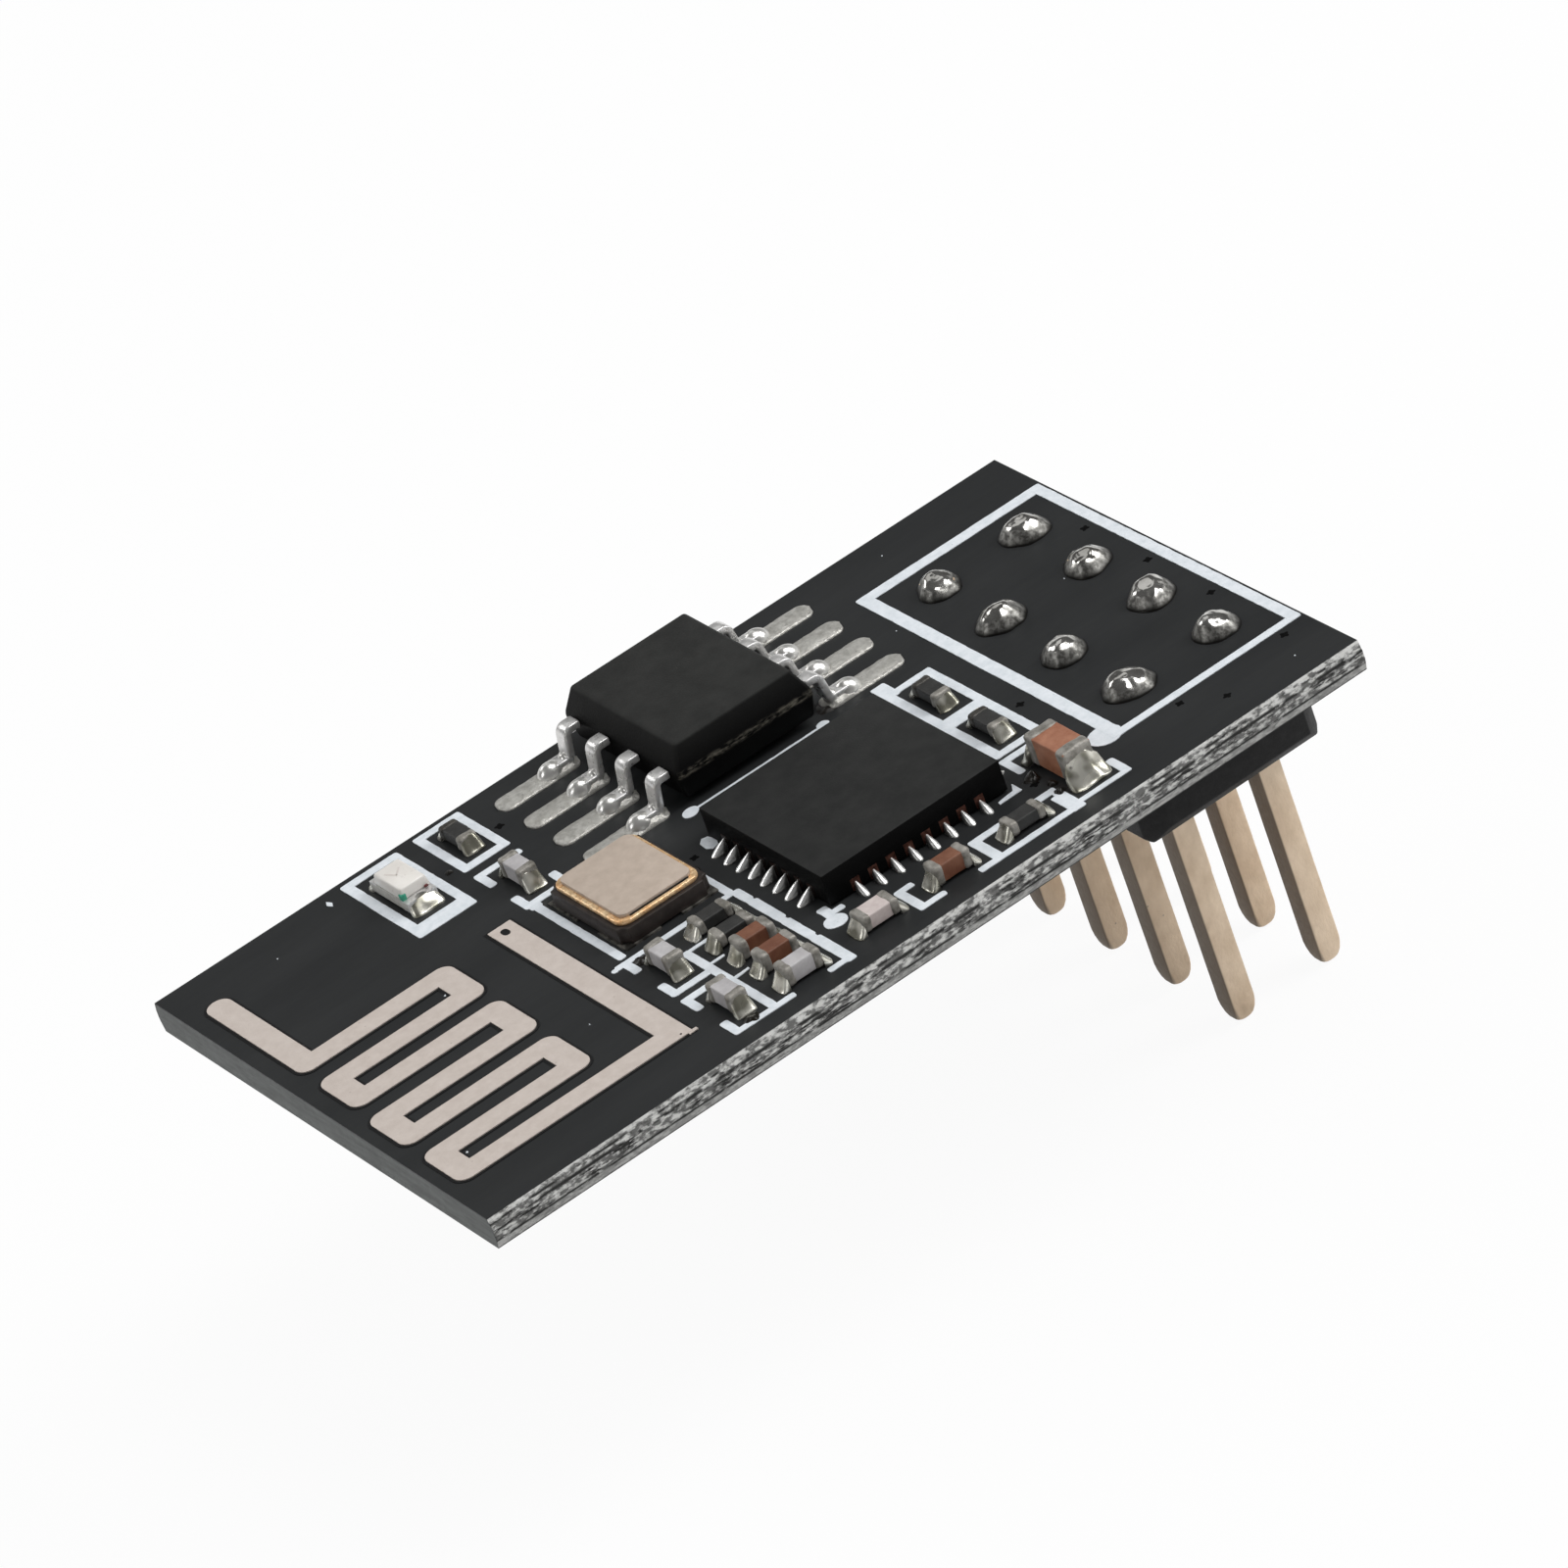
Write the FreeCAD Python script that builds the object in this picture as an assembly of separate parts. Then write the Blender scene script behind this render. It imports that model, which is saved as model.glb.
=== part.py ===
import FreeCAD
import Part

import math
import os

from FreeCAD import Vector

# Small plug-in radio module: a thin black board with a folded strip aerial, a square radio chip, an eight
# leaded memory chip, a crystal, an indicator light, chip resistors and capacitors, and a two-row pin header
# soldered through the board from below.
# Frame, in millimetres: origin at the middle of the header's eight pins on the strip's seating face,
# +X along the board from the aerial towards the header, +Y across it, +Z up on the component side.

# Pin header
pin_pitch = 2.54
pin_columns = 2
pin_rows = 4
pin_side = 0.64
pin_reach = 6.0
pin_tip_length = 0.45
pin_tip_side = 0.42
pin_stub = 0.20
strip_height = 2.5
strip_chamfer = 0.5
strip_end_bevel = 0.36
strip_side_bevel = 0.14

# Bare board: a slab scored along both long edges and snapped out of its panel
board_length = 24.34
board_width = 14.39
board_thickness = 0.8
board_header_margin = 2.763
board_offset_y = -0.05
score_depth = 0.25
score_flare = 0.06
pin_hole_diameter = 1.02

# Solder domes over the header pins
dome_foot_diameter = 1.36
dome_neck_diameter = 0.92
dome_neck_height = 0.20
dome_crown_diameter = 0.54
dome_height = 0.42

# Strip aerial: seven runs joined by turns at alternate ends, fed by one straight strip
strip_width = 0.63
copper_height = 0.04
aerial_tip_y = 5.46
aerial_first_run_y = 1.60
aerial_wide_step = 1.19
aerial_narrow_step = 1.116
aerial_run_count = 7
aerial_left_margin = 0.807
aerial_left_jog = 0.115
aerial_feed_gap = 1.823
aerial_right_jog = 0.057
feed_x = -15.192
feed_end_y = 1.986

# Radio chip: square, leadless, eight lands on each side
radio_x = -7.815
radio_y = -2.127
radio_side = 5.0
radio_height = 0.80
land_pitch = 0.5
lands_per_side = 8
land_width = 0.25
land_depth = 0.40
land_height = 0.30
thermal_pad_side = 3.45
radio_pad_beyond = 0.46
radio_pad_width = 0.23

# Memory chip: eight gull-wing leads on pads made for a wider chip
memory_x = -7.99
memory_y = 4.208
memory_width = 3.9
memory_length = 4.9
memory_standoff = 0.20
memory_parting_height = 0.88
memory_top_height = 1.58
memory_side_draft = 0.30
memory_end_draft = 0.23
memory_under_draft = 0.12
lead_pitch = 1.27
leads_per_side = 4
lead_width = 0.42
lead_thickness = 0.20
lead_span = 6.0
lead_foot_length = 0.55
lead_slope = 0.12
lead_bend_radius = 0.16
memory_pad_span = 9.06
memory_pad_length = 2.30
memory_pad_width = 0.66
memory_pad_corner = 0.28
memory_pad_height = 0.07

# Crystal: ceramic tub, metal seal ring and lid
crystal_x = -12.71
crystal_y = 0.03
crystal_width = 2.5
crystal_length = 3.2
crystal_base_height = 0.40
crystal_notch_radius = 0.20
ring_inset = 0.11
ring_wall = 0.28
ring_height = 0.12
ring_corner = 0.32
lid_inset = 0.10
lid_height = 0.10
lid_corner = 0.22
crystal_pad_width = 1.0
crystal_pad_length = 1.2
crystal_pad_beyond = 0.05

# Indicator light: thin carrier, clear lens, wrap-round end terminals
light_x = -15.69
light_y = 5.22
light_length = 1.7
light_width = 0.80
light_base_height = 0.26
light_lens_length = 1.28
light_lens_height = 0.28
light_lens_draft = 0.05
light_terminal_length = 0.30
light_terminal_notch = 0.16
light_pad_beyond = 0.26
light_pad_width = 0.92

# Chip resistors and capacitors
small_length = 1.00
small_width = 0.50
resistor_height = 0.35
capacitor_height = 0.50
flat_capacitor_width = 0.60
flat_capacitor_height = 0.42
large_length = 1.60
large_width = 0.82
large_height = 0.80
small_band = 0.23
large_band = 0.38
plating = 0.03
end_bevel = 0.055
small_pad_beyond = 0.24
large_pad_beyond = 0.36
small_pad_inner = 0.22
small_pad_extra = 0.04
large_pad_extra = 0.14
fillet_share = 0.72
fillet_hollow_reach = 0.36
fillet_hollow_rise = 0.30

# Where the chip parts sit: centre on the board, and the turn of their length from X
resistor_places = {
    1: (-13.76, 5.80, 90),
    2: (-12.24, -2.60, 0),
    3: (-12.24, -3.46, 0),
    4: (-4.08, 0.06, 90),
    5: (-4.08, -2.24, 90),
    6: (-5.92, -6.12, 0),
}
capacitor_places = {
    1: (-13.77, 3.11, 90),
    2: (-13.79, -3.06, 90),
    3: (-13.79, -5.60, 90),
    4: (-12.21, -4.34, 0),
    5: (-12.21, -5.24, 0),
    6: (-12.21, -6.16, 0),
    7: (-10.01, -6.03, 0),
    8: (-8.00, -6.12, 0),
    9: (-4.00, -5.08, 90),
}
flat_capacitor = 7
large_capacitor = 9

# Printed legend: thin white lines round the parts
print_height = 0.02
print_line = 0.23
print_thin_line = 0.19
print_fine_line = 0.15
print_clearance = 0.08
small_window_length = 1.86
small_window_width = 0.87
large_window_length = 2.75
large_window_width = 1.14
small_gap_length = 0.86
large_gap_length = 1.45
corner_stub_length = 0.72
group_line_beyond = 0.90
group_line_stub = 0.66
group_line_foot = 0.45
group_line_rise = 0.60
group_line_start = 0.30
header_line = 0.33
header_line_x = 2.54
header_line_y = 5.09
header_blot_diameter = 0.86
header_blot_shift = 0.20
crystal_print_front_gap = 0.30
crystal_print_back_gap = 0.36
light_print_shift = 0.08
light_print_mark = 0.54
light_print_dot = 0.16
radio_line_gap = 1.20
radio_line_start = 0.45
radio_line_end = 0.85
radio_blot = 0.36
radio_mark_gap = 0.06
radio_mark_length = 0.64
radio_dot_diameter = 0.56
radio_dot_gap = 0.51

# Joints between solder and the board
pad_height = 0.05

# Levels that follow from the values above
board_bottom = strip_height
board_top = board_bottom + board_thickness
chip_seat = board_top + pad_height
board_end_x = board_header_margin - board_length
aerial_left_x = board_end_x + aerial_left_margin
aerial_right_x = feed_x - aerial_feed_gap
pins = [(pin_pitch * (column - (pin_columns - 1) / 2), pin_pitch * (row - (pin_rows - 1) / 2))
        for row in range(pin_rows) for column in range(pin_columns)]


def block(x0, x1, y0, y1, z0, z1):
    """A box between two corners, given axis by axis."""
    return Part.makeBox(x1 - x0, y1 - y0, z1 - z0, Vector(x0, y0, z0))


def centred_block(x, y, length, width, z0, height):
    """A box centred on (x, y) that stands on z0."""
    return Part.makeBox(length, width, height, Vector(x - length / 2, y - width / 2, z0))


def upright_edges(solid):
    """The edges of a solid that run along Z."""
    return [edge for edge in solid.Edges
            if edge.BoundBox.XLength + edge.BoundBox.YLength < 1e-6]


def rounded_plate(x, y, length, width, z0, height, radius):
    """A plate centred on (x, y) with its four upright corners rounded."""
    plate = centred_block(x, y, length, width, z0, height)
    limit = 0.49 * min(length, width)
    return plate.makeFillet(min(radius, limit), upright_edges(plate))


def rectangle(length, width, z):
    """A closed rectangle centred on the Z axis, used as a loft section."""
    x, y = length / 2, width / 2
    corners = [Vector(-x, -y, z), Vector(x, -y, z), Vector(x, y, z), Vector(-x, y, z)]
    return Part.makePolygon(corners + corners[:1])


def prism(points, direction):
    """A solid swept from a closed flat outline."""
    return Part.Face(Part.makePolygon(points + points[:1])).extrude(direction)


def placed(solid, x, y, turn=0.0):
    """A solid drawn about the Z axis, turned by degrees and moved to (x, y)."""
    moved = solid.copy()
    moved.rotate(Vector(0, 0, 0), Vector(0, 0, 1), turn)
    moved.translate(Vector(x, y, 0))
    return moved


def circuit_board():
    """The slab: its section shows the scored and snapped long edges, and eight holes take the pins."""
    half = board_width / 2
    levels = [board_bottom, board_bottom + score_depth, board_top - score_depth, board_top]
    reaches = [half, half + score_flare, half + score_flare, half]
    right = [Vector(board_end_x, board_offset_y + reach, z) for reach, z in zip(reaches, levels)]
    left = [Vector(board_end_x, board_offset_y - reach, z) for reach, z in zip(reaches, levels)]
    slab = prism(right + left[::-1], Vector(board_length, 0, 0))
    holes = [Part.makeCylinder(pin_hole_diameter / 2, board_thickness, Vector(x, y, board_bottom))
             for x, y in pins]
    return slab.cut(holes)


def header_strip():
    """The plastic strip: four cells in a row, each with its corners cut off, bevelled underneath."""
    half = pin_columns * pin_pitch / 2
    strip_run = pin_rows * pin_pitch
    cell_half = pin_pitch / 2
    cut = strip_chamfer
    cells = []
    for row in range(pin_rows):
        y = pin_pitch * (row - (pin_rows - 1) / 2)
        outline = [Vector(-half + cut, y - cell_half, 0), Vector(half - cut, y - cell_half, 0),
                   Vector(half, y - cell_half + cut, 0), Vector(half, y + cell_half - cut, 0),
                   Vector(half - cut, y + cell_half, 0), Vector(-half + cut, y + cell_half, 0),
                   Vector(-half, y + cell_half - cut, 0), Vector(-half, y - cell_half + cut, 0)]
        cells.append(prism(outline, Vector(0, 0, strip_height)))
    strip = cells[0].fuse(cells[1:]).removeSplitter()
    holes = [centred_block(x, y, pin_side, pin_side, 0, strip_height) for x, y in pins]
    bevels = []
    for bevel, turns, depth in ((strip_end_bevel, (90, 270), pin_rows * pin_pitch / 2),
                                (strip_side_bevel, (0, 180), half)):
        wedge = prism([Vector(depth - bevel, -strip_run, 0), Vector(depth, -strip_run, 0),
                       Vector(depth, -strip_run, bevel)], Vector(0, 2 * strip_run, 0))
        bevels.extend(placed(wedge, 0, 0, turn) for turn in turns)
    return strip.cut(holes + bevels)


def header_pin(x, y):
    """A square pin with a drawn-down tip, from below the strip to just over the board."""
    shoulder_z = -pin_reach + pin_tip_length
    shank = centred_block(0, 0, pin_side, pin_side, shoulder_z, board_top + pin_stub - shoulder_z)
    half, tip_half = pin_side / 2, pin_tip_side / 2
    tip = Part.makeWedge(-half, 0, -half, -tip_half, -tip_half,
                         half, pin_tip_length, half, tip_half, tip_half)
    tip.rotate(Vector(0, 0, 0), Vector(1, 0, 0), -90)
    tip.translate(Vector(0, 0, shoulder_z))
    return placed(shank.fuse(tip).removeSplitter(), x, y)


def header_joint(x, y):
    """Solder that fills the plated hole, spreads on the pad and domes over the pin's end."""
    section = [(0, board_bottom), (pin_hole_diameter / 2, board_bottom), (pin_hole_diameter / 2, board_top),
               (dome_foot_diameter / 2, board_top), (dome_neck_diameter / 2, board_top + dome_neck_height),
               (dome_crown_diameter / 2, board_top + dome_height), (0, board_top + dome_height)]
    outline = [Vector(radius, 0, z) for radius, z in section]
    fill = Part.Face(Part.makePolygon(outline + outline[:1])).revolve(Vector(0, 0, 0), Vector(0, 0, 1), 360)
    pin_end = centred_block(0, 0, pin_side, pin_side, board_bottom, board_thickness + pin_stub)
    return placed(fill.cut(pin_end), x, y)


def aerial_centre_line():
    """Points along the middle of the folded strip, from its open tip to the foot of the feed."""
    y = aerial_first_run_y
    points = [(aerial_left_x, aerial_tip_y), (aerial_left_x, y)]
    for run in range(aerial_run_count - 1):
        at_right = run % 2 == 0
        turn = run // 2
        if at_right:
            x = aerial_right_x - aerial_right_jog * turn
        else:
            x = aerial_left_x - aerial_left_jog * min(turn, 1)
        points.append((x, y))
        y -= aerial_wide_step if at_right else aerial_narrow_step
        points.append((x, y))
    points.append((feed_x, y))
    return points


def aerial():
    """The aerial's copper: the folded strip with round outer corners, and the feed with its square end."""
    points = [Vector(x, y, board_top) for x, y in aerial_centre_line()]
    corner = points[-1]
    points.append(Vector(feed_x, feed_end_y - strip_width / 2, board_top))
    folded = Part.makePolygon(points).makeOffset2D(strip_width / 2, 0, False, False)
    strip = Part.Face(folded).extrude(Vector(0, 0, copper_height))
    foot = centred_block(corner.x, corner.y, strip_width, strip_width, board_top, copper_height)
    end = centred_block(feed_x, feed_end_y - strip_width / 2, strip_width, strip_width,
                        board_top, copper_height)
    return strip.fuse([foot, end]).removeSplitter()


def on_four_sides(solid, x, y):
    """Four copies of a solid drawn on the +X side of the Z axis, one for each side of a square part."""
    return [placed(solid, x, y, 90 * side) for side in range(4)]


def row_offsets(count, pitch):
    """The places of a centred row of equally spaced things."""
    return [pitch * (index - (count - 1) / 2) for index in range(count)]


def radio_lands():
    """The chip's metal: lead ends flush with its sides and the square pad beneath."""
    lands = []
    outer = radio_side / 2
    for offset in row_offsets(lands_per_side, land_pitch):
        land = block(outer - land_depth, outer, offset - land_width / 2, offset + land_width / 2,
                     chip_seat, chip_seat + land_height)
        lands.extend(on_four_sides(land, radio_x, radio_y))
    slug = centred_block(radio_x, radio_y, thermal_pad_side, thermal_pad_side, chip_seat, land_height)
    return Part.makeCompound(lands + [slug])


def radio_body():
    """The moulded square, cut where its metal shows."""
    body = centred_block(radio_x, radio_y, radio_side, radio_side, chip_seat, radio_height)
    return body.cut(radio_lands().Solids)


def fillet_section(end_x, inner_x, outer_x, rise):
    """Side view of a soldered end: a thin pad under the part and a hollow fillet up its end face."""
    low, pad = board_top, board_top + pad_height
    hollow_x = end_x + fillet_hollow_reach * (outer_x - end_x)
    outline = [Vector(end_x, 0, pad + rise), Vector(end_x, 0, pad), Vector(inner_x, 0, pad),
               Vector(inner_x, 0, low), Vector(outer_x, 0, low), Vector(outer_x, 0, pad),
               Vector(hollow_x, 0, pad + fillet_hollow_rise * rise)]
    return Part.Face(Part.makePolygon(outline + outline[:1]))


def soldered_end(end_x, inner_x, outer_x, rise, width):
    """One solder joint on the +X end of a part, as wide as its pad."""
    joint = fillet_section(end_x, inner_x, outer_x, rise).extrude(Vector(0, width, 0))
    joint.translate(Vector(0, -width / 2, 0))
    return joint


def radio_joints():
    """Solder between the lands and their pads, and under the square pad."""
    outer = radio_side / 2
    finger = soldered_end(outer, outer - land_depth, outer + radio_pad_beyond,
                          land_height - pad_height, radio_pad_width)
    joints = []
    for offset in row_offsets(lands_per_side, land_pitch):
        shifted = placed(finger, 0, offset)
        joints.extend(on_four_sides(shifted, radio_x, radio_y))
    joints.append(centred_block(radio_x, radio_y, thermal_pad_side, thermal_pad_side,
                                board_top, pad_height))
    return Part.makeCompound(joints)


def memory_body():
    """The moulded block: widest at the parting line, with both halves drawn in."""
    under = 2 * memory_under_draft
    low = rectangle(memory_width - under, memory_length - under, board_top + memory_standoff)
    parting = rectangle(memory_width, memory_length, board_top + memory_parting_height)
    high = rectangle(memory_width - 2 * memory_side_draft, memory_length - 2 * memory_end_draft,
                     board_top + memory_top_height)
    lower = Part.makeLoft([low, parting], True, True)
    upper = Part.makeLoft([parting, high], True, True)
    return placed(lower.fuse(upper), memory_x, memory_y)


def rounded_path(points, radius):
    """A wire through the points with an arc of the given radius at each inner corner."""
    edges = []
    start = points[0]
    for before, corner, after in zip(points, points[1:], points[2:]):
        into = (before - corner).normalize()
        out_of = (after - corner).normalize()
        half_angle = into.getAngle(out_of) / 2
        reach = radius / math.tan(half_angle)
        enter = corner + into * reach
        leave = corner + out_of * reach
        bisector = (into + out_of).normalize()
        middle = corner + bisector * (radius / math.sin(half_angle) - radius)
        edges.append(Part.makeLine(start, enter))
        edges.append(Part.Arc(enter, middle, leave).toShape())
        start = leave
    edges.append(Part.makeLine(start, points[-1]))
    return Part.Wire(edges)


def memory_lead():
    """One gull-wing lead on the +X side: foot, riser and shoulder, bent from flat strip."""
    half = lead_thickness / 2
    toe_x = lead_span / 2
    heel_x = toe_x - lead_foot_length
    body_x = memory_width / 2
    foot_z = board_top + memory_pad_height + half
    shoulder_z = board_top + memory_parting_height
    path = rounded_path([Vector(toe_x, 0, foot_z), Vector(heel_x, 0, foot_z),
                         Vector(heel_x - lead_slope, 0, shoulder_z), Vector(body_x, 0, shoulder_z)],
                        lead_bend_radius)
    y = lead_width / 2
    section = Part.makePolygon([Vector(toe_x, -y, foot_z - half), Vector(toe_x, y, foot_z - half),
                                Vector(toe_x, y, foot_z + half), Vector(toe_x, -y, foot_z + half),
                                Vector(toe_x, -y, foot_z - half)])
    return path.makePipeShell([section], True, False)


def both_sides(solid, offsets, x, y):
    """Copies of a solid drawn on the +X side, in a row on that side and on the opposite one."""
    row = [placed(solid, 0, offset) for offset in offsets]
    return [placed(item, x, y, turn) for turn in (0, 180) for item in row]


def memory_leads():
    """The eight leads."""
    offsets = row_offsets(leads_per_side, lead_pitch)
    return Part.makeCompound(both_sides(memory_lead(), offsets, memory_x, memory_y))


def memory_pads():
    """Tinned pads longer than the feet that stand on them, with their outer corners cut off."""
    outer = memory_pad_span / 2
    pad = block(outer - memory_pad_length, outer, -memory_pad_width / 2, memory_pad_width / 2,
                board_top, board_top + memory_pad_height)
    corners = [edge for edge in upright_edges(pad) if edge.BoundBox.XMin > outer - memory_pad_length / 2]
    pad = pad.makeChamfer(memory_pad_corner, corners)
    offsets = row_offsets(leads_per_side, lead_pitch)
    return Part.makeCompound(both_sides(pad, offsets, memory_x, memory_y))


def crystal_base():
    """The ceramic tub with a hollow notch down each corner."""
    tub = centred_block(crystal_x, crystal_y, crystal_width, crystal_length,
                        chip_seat, crystal_base_height)
    notches = [Part.makeCylinder(crystal_notch_radius, crystal_base_height,
                                 Vector(crystal_x + side * crystal_width / 2,
                                        crystal_y + end * crystal_length / 2, chip_seat))
               for side in (-1, 1) for end in (-1, 1)]
    return tub.cut(notches)


def crystal_ring():
    """The metal ring brazed on the tub's rim."""
    width = crystal_width - 2 * ring_inset
    length = crystal_length - 2 * ring_inset
    z = chip_seat + crystal_base_height
    outer = rounded_plate(crystal_x, crystal_y, width, length, z, ring_height, ring_corner)
    inner = rounded_plate(crystal_x, crystal_y, width - 2 * ring_wall, length - 2 * ring_wall,
                          z, ring_height, ring_corner - ring_wall / 2)
    return outer.cut(inner)


def crystal_lid():
    """The flat lid welded to the ring."""
    inset = 2 * (ring_inset + lid_inset)
    z = chip_seat + crystal_base_height + ring_height
    return rounded_plate(crystal_x, crystal_y, crystal_width - inset, crystal_length - inset,
                         z, lid_height, lid_corner)


def crystal_joints():
    """Four soldered pads that reach a little past the tub's corners."""
    x = crystal_width / 2 + crystal_pad_beyond - crystal_pad_width / 2
    y = crystal_length / 2 + crystal_pad_beyond - crystal_pad_length / 2
    pads = [centred_block(crystal_x + side * x, crystal_y + end * y, crystal_pad_width,
                          crystal_pad_length, board_top, pad_height)
            for side in (-1, 1) for end in (-1, 1)]
    return Part.makeCompound(pads)


def light_notches():
    """Half-round notches in both ends of the light's carrier, about the Z axis."""
    return [Part.makeCylinder(light_terminal_notch, light_base_height,
                              Vector(end * light_length / 2, 0, chip_seat)) for end in (-1, 1)]


def light_terminal_shells():
    """The plated ends of the carrier, drawn about the Z axis."""
    shells = []
    inner = light_length / 2 - light_terminal_length
    core = centred_block(0, 0, light_length - 2 * plating, light_width, chip_seat + plating,
                         light_base_height - 2 * plating)
    for end in (-1, 1):
        reach = sorted((end * inner, end * light_length / 2))
        wrap = block(reach[0], reach[1], -light_width / 2, light_width / 2,
                     chip_seat, chip_seat + light_base_height)
        shells.append(wrap.cut([core] + light_notches()))
    return shells


def light_base():
    """The carrier between and inside its plated ends."""
    carrier = centred_block(0, 0, light_length, light_width, chip_seat, light_base_height)
    carrier = carrier.cut(light_terminal_shells() + light_notches())
    return placed(carrier, light_x, light_y, 90)


def light_terminals():
    """Both plated ends, set in place."""
    return Part.makeCompound([placed(shell, light_x, light_y, 90) for shell in light_terminal_shells()])


def light_lens():
    """The clear block over the chip, drawn in a little towards its top."""
    z = chip_seat + light_base_height
    draft = 2 * light_lens_draft
    lens = Part.makeLoft([rectangle(light_lens_length, light_width, z),
                          rectangle(light_lens_length - draft, light_width - draft,
                                    z + light_lens_height)], True, True)
    return placed(lens, light_x, light_y, 90)


def both_ends(solid):
    """A solid drawn on the +X end and its copy on the other end."""
    return [solid, placed(solid, 0, 0, 180)]


def light_joints():
    """Solder at both ends of the light."""
    end = light_length / 2
    joint = soldered_end(end, end - light_terminal_length, end + light_pad_beyond,
                         fillet_share * light_base_height, light_pad_width)
    return Part.makeCompound([placed(item, light_x, light_y, 90) for item in both_ends(joint)])


def end_edges(solid, x):
    """The edges of a box that lie wholly in its faces across X, at a distance x from the middle."""
    return [edge for edge in solid.Edges
            if edge.BoundBox.XLength < 1e-6 and abs(abs(edge.BoundBox.XMin) - x) < 1e-6]


def chip_body(length, width, height):
    """The block of a chip part, inside its plated ends."""
    return centred_block(0, 0, length - 2 * plating, width - 2 * plating,
                         chip_seat + plating, height - 2 * plating)


def chip_ends(length, width, height, band):
    """The two plated ends of a chip part: bevelled caps over the ends of its block."""
    cap = block(length / 2 - band, length / 2, -width / 2, width / 2, chip_seat, chip_seat + height)
    cap = cap.makeChamfer(min(end_bevel, 1.9 * plating), end_edges(cap, length / 2))
    return both_ends(cap.cut(chip_body(length, width, height)))


def chip_joints(length, width, height, beyond, extra):
    """Solder at both ends of a chip part."""
    end = length / 2
    joint = soldered_end(end, end - small_pad_inner, end + beyond, fillet_share * height,
                         width + 2 * extra)
    return both_ends(joint)


def chip_part(kind, number):
    """The block, ends and joints of one resistor or capacitor, set in place."""
    if kind == "resistor":
        length, width, height = small_length, small_width, resistor_height
        place = resistor_places[number]
    else:
        length, width, height = small_length, small_width, capacitor_height
        place = capacitor_places[number]
    band, beyond, extra = small_band, small_pad_beyond, small_pad_extra
    if kind == "capacitor" and number == flat_capacitor:
        width, height = flat_capacitor_width, flat_capacitor_height
    if kind == "capacitor" and number == large_capacitor:
        length, width, height = large_length, large_width, large_height
        band, beyond, extra = large_band, large_pad_beyond, large_pad_extra
    body = placed(chip_body(length, width, height), *place)
    ends = [placed(end, *place) for end in chip_ends(length, width, height, band)]
    joints = [placed(joint, *place) for joint in chip_joints(length, width, height, beyond, extra)]
    return body, Part.makeCompound(ends), joints


def bar(x0, x1, y0, y1):
    """One printed bar."""
    return block(x0, x1, y0, y1, board_top, board_top + print_height)


def window_frame(place, length, width, side_gap=0.0, sides=(-1, 1)):
    """Printed bars round a part's window; the long ones can have a gap in the middle, or be left out."""
    x, y, turn = place
    near_x, far_x = length / 2, length / 2 + print_line
    near_y, far_y = width / 2, width / 2 + print_line
    bars = [bar(-far_x, -near_x, -far_y, far_y), bar(near_x, far_x, -far_y, far_y)]
    for side in sides:
        low, high = sorted((side * near_y, side * far_y))
        runs = [(-far_x, far_x)]
        if side_gap > 0:
            runs = [(-far_x, -side_gap / 2), (side_gap / 2, far_x)]
        bars.extend(bar(start, stop, low, high) for start, stop in runs)
    return [placed(item, x, y, turn) for item in bars]


def print_round(x, y, diameter):
    """A printed dot."""
    return Part.makeCylinder(diameter / 2, print_height, Vector(x, y, board_top))


def header_print():
    """The box round the header and the blot at its corner."""
    x, y = header_line_x, header_line_y
    half, thin = header_line / 2, print_thin_line / 2
    bars = [bar(-x - half, -x + half, -y - thin, y + half), bar(x - half, x + half, -y - thin, y + half),
            bar(-x - half, x + half, y - half, y + half), bar(-x - half, x + half, -y - thin, -y + thin)]
    return bars + [print_round(-x - header_blot_shift, -y + header_blot_shift, header_blot_diameter)]


def crystal_print():
    """The box round the crystal, open at the back where the memory chip's first pad begins."""
    side = crystal_width / 2 + print_clearance
    x0 = crystal_x - side - print_line
    x1 = crystal_x + side + print_line
    y0 = crystal_y - crystal_length / 2 - crystal_print_front_gap - print_thin_line
    y1 = crystal_y + crystal_length / 2 + crystal_print_back_gap + print_line
    pad_x = memory_x - memory_pad_span / 2 - print_clearance
    pad_y = memory_y - (leads_per_side - 1) / 2 * lead_pitch - memory_pad_width / 2 - print_clearance
    return [bar(x0, x0 + print_line, y0, y1), bar(x1 - print_line, x1, y0, min(y1, pad_y)),
            bar(x0, x1, y0, y0 + print_thin_line), bar(x0, min(x1, pad_x), y1 - print_line, y1)]


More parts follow.
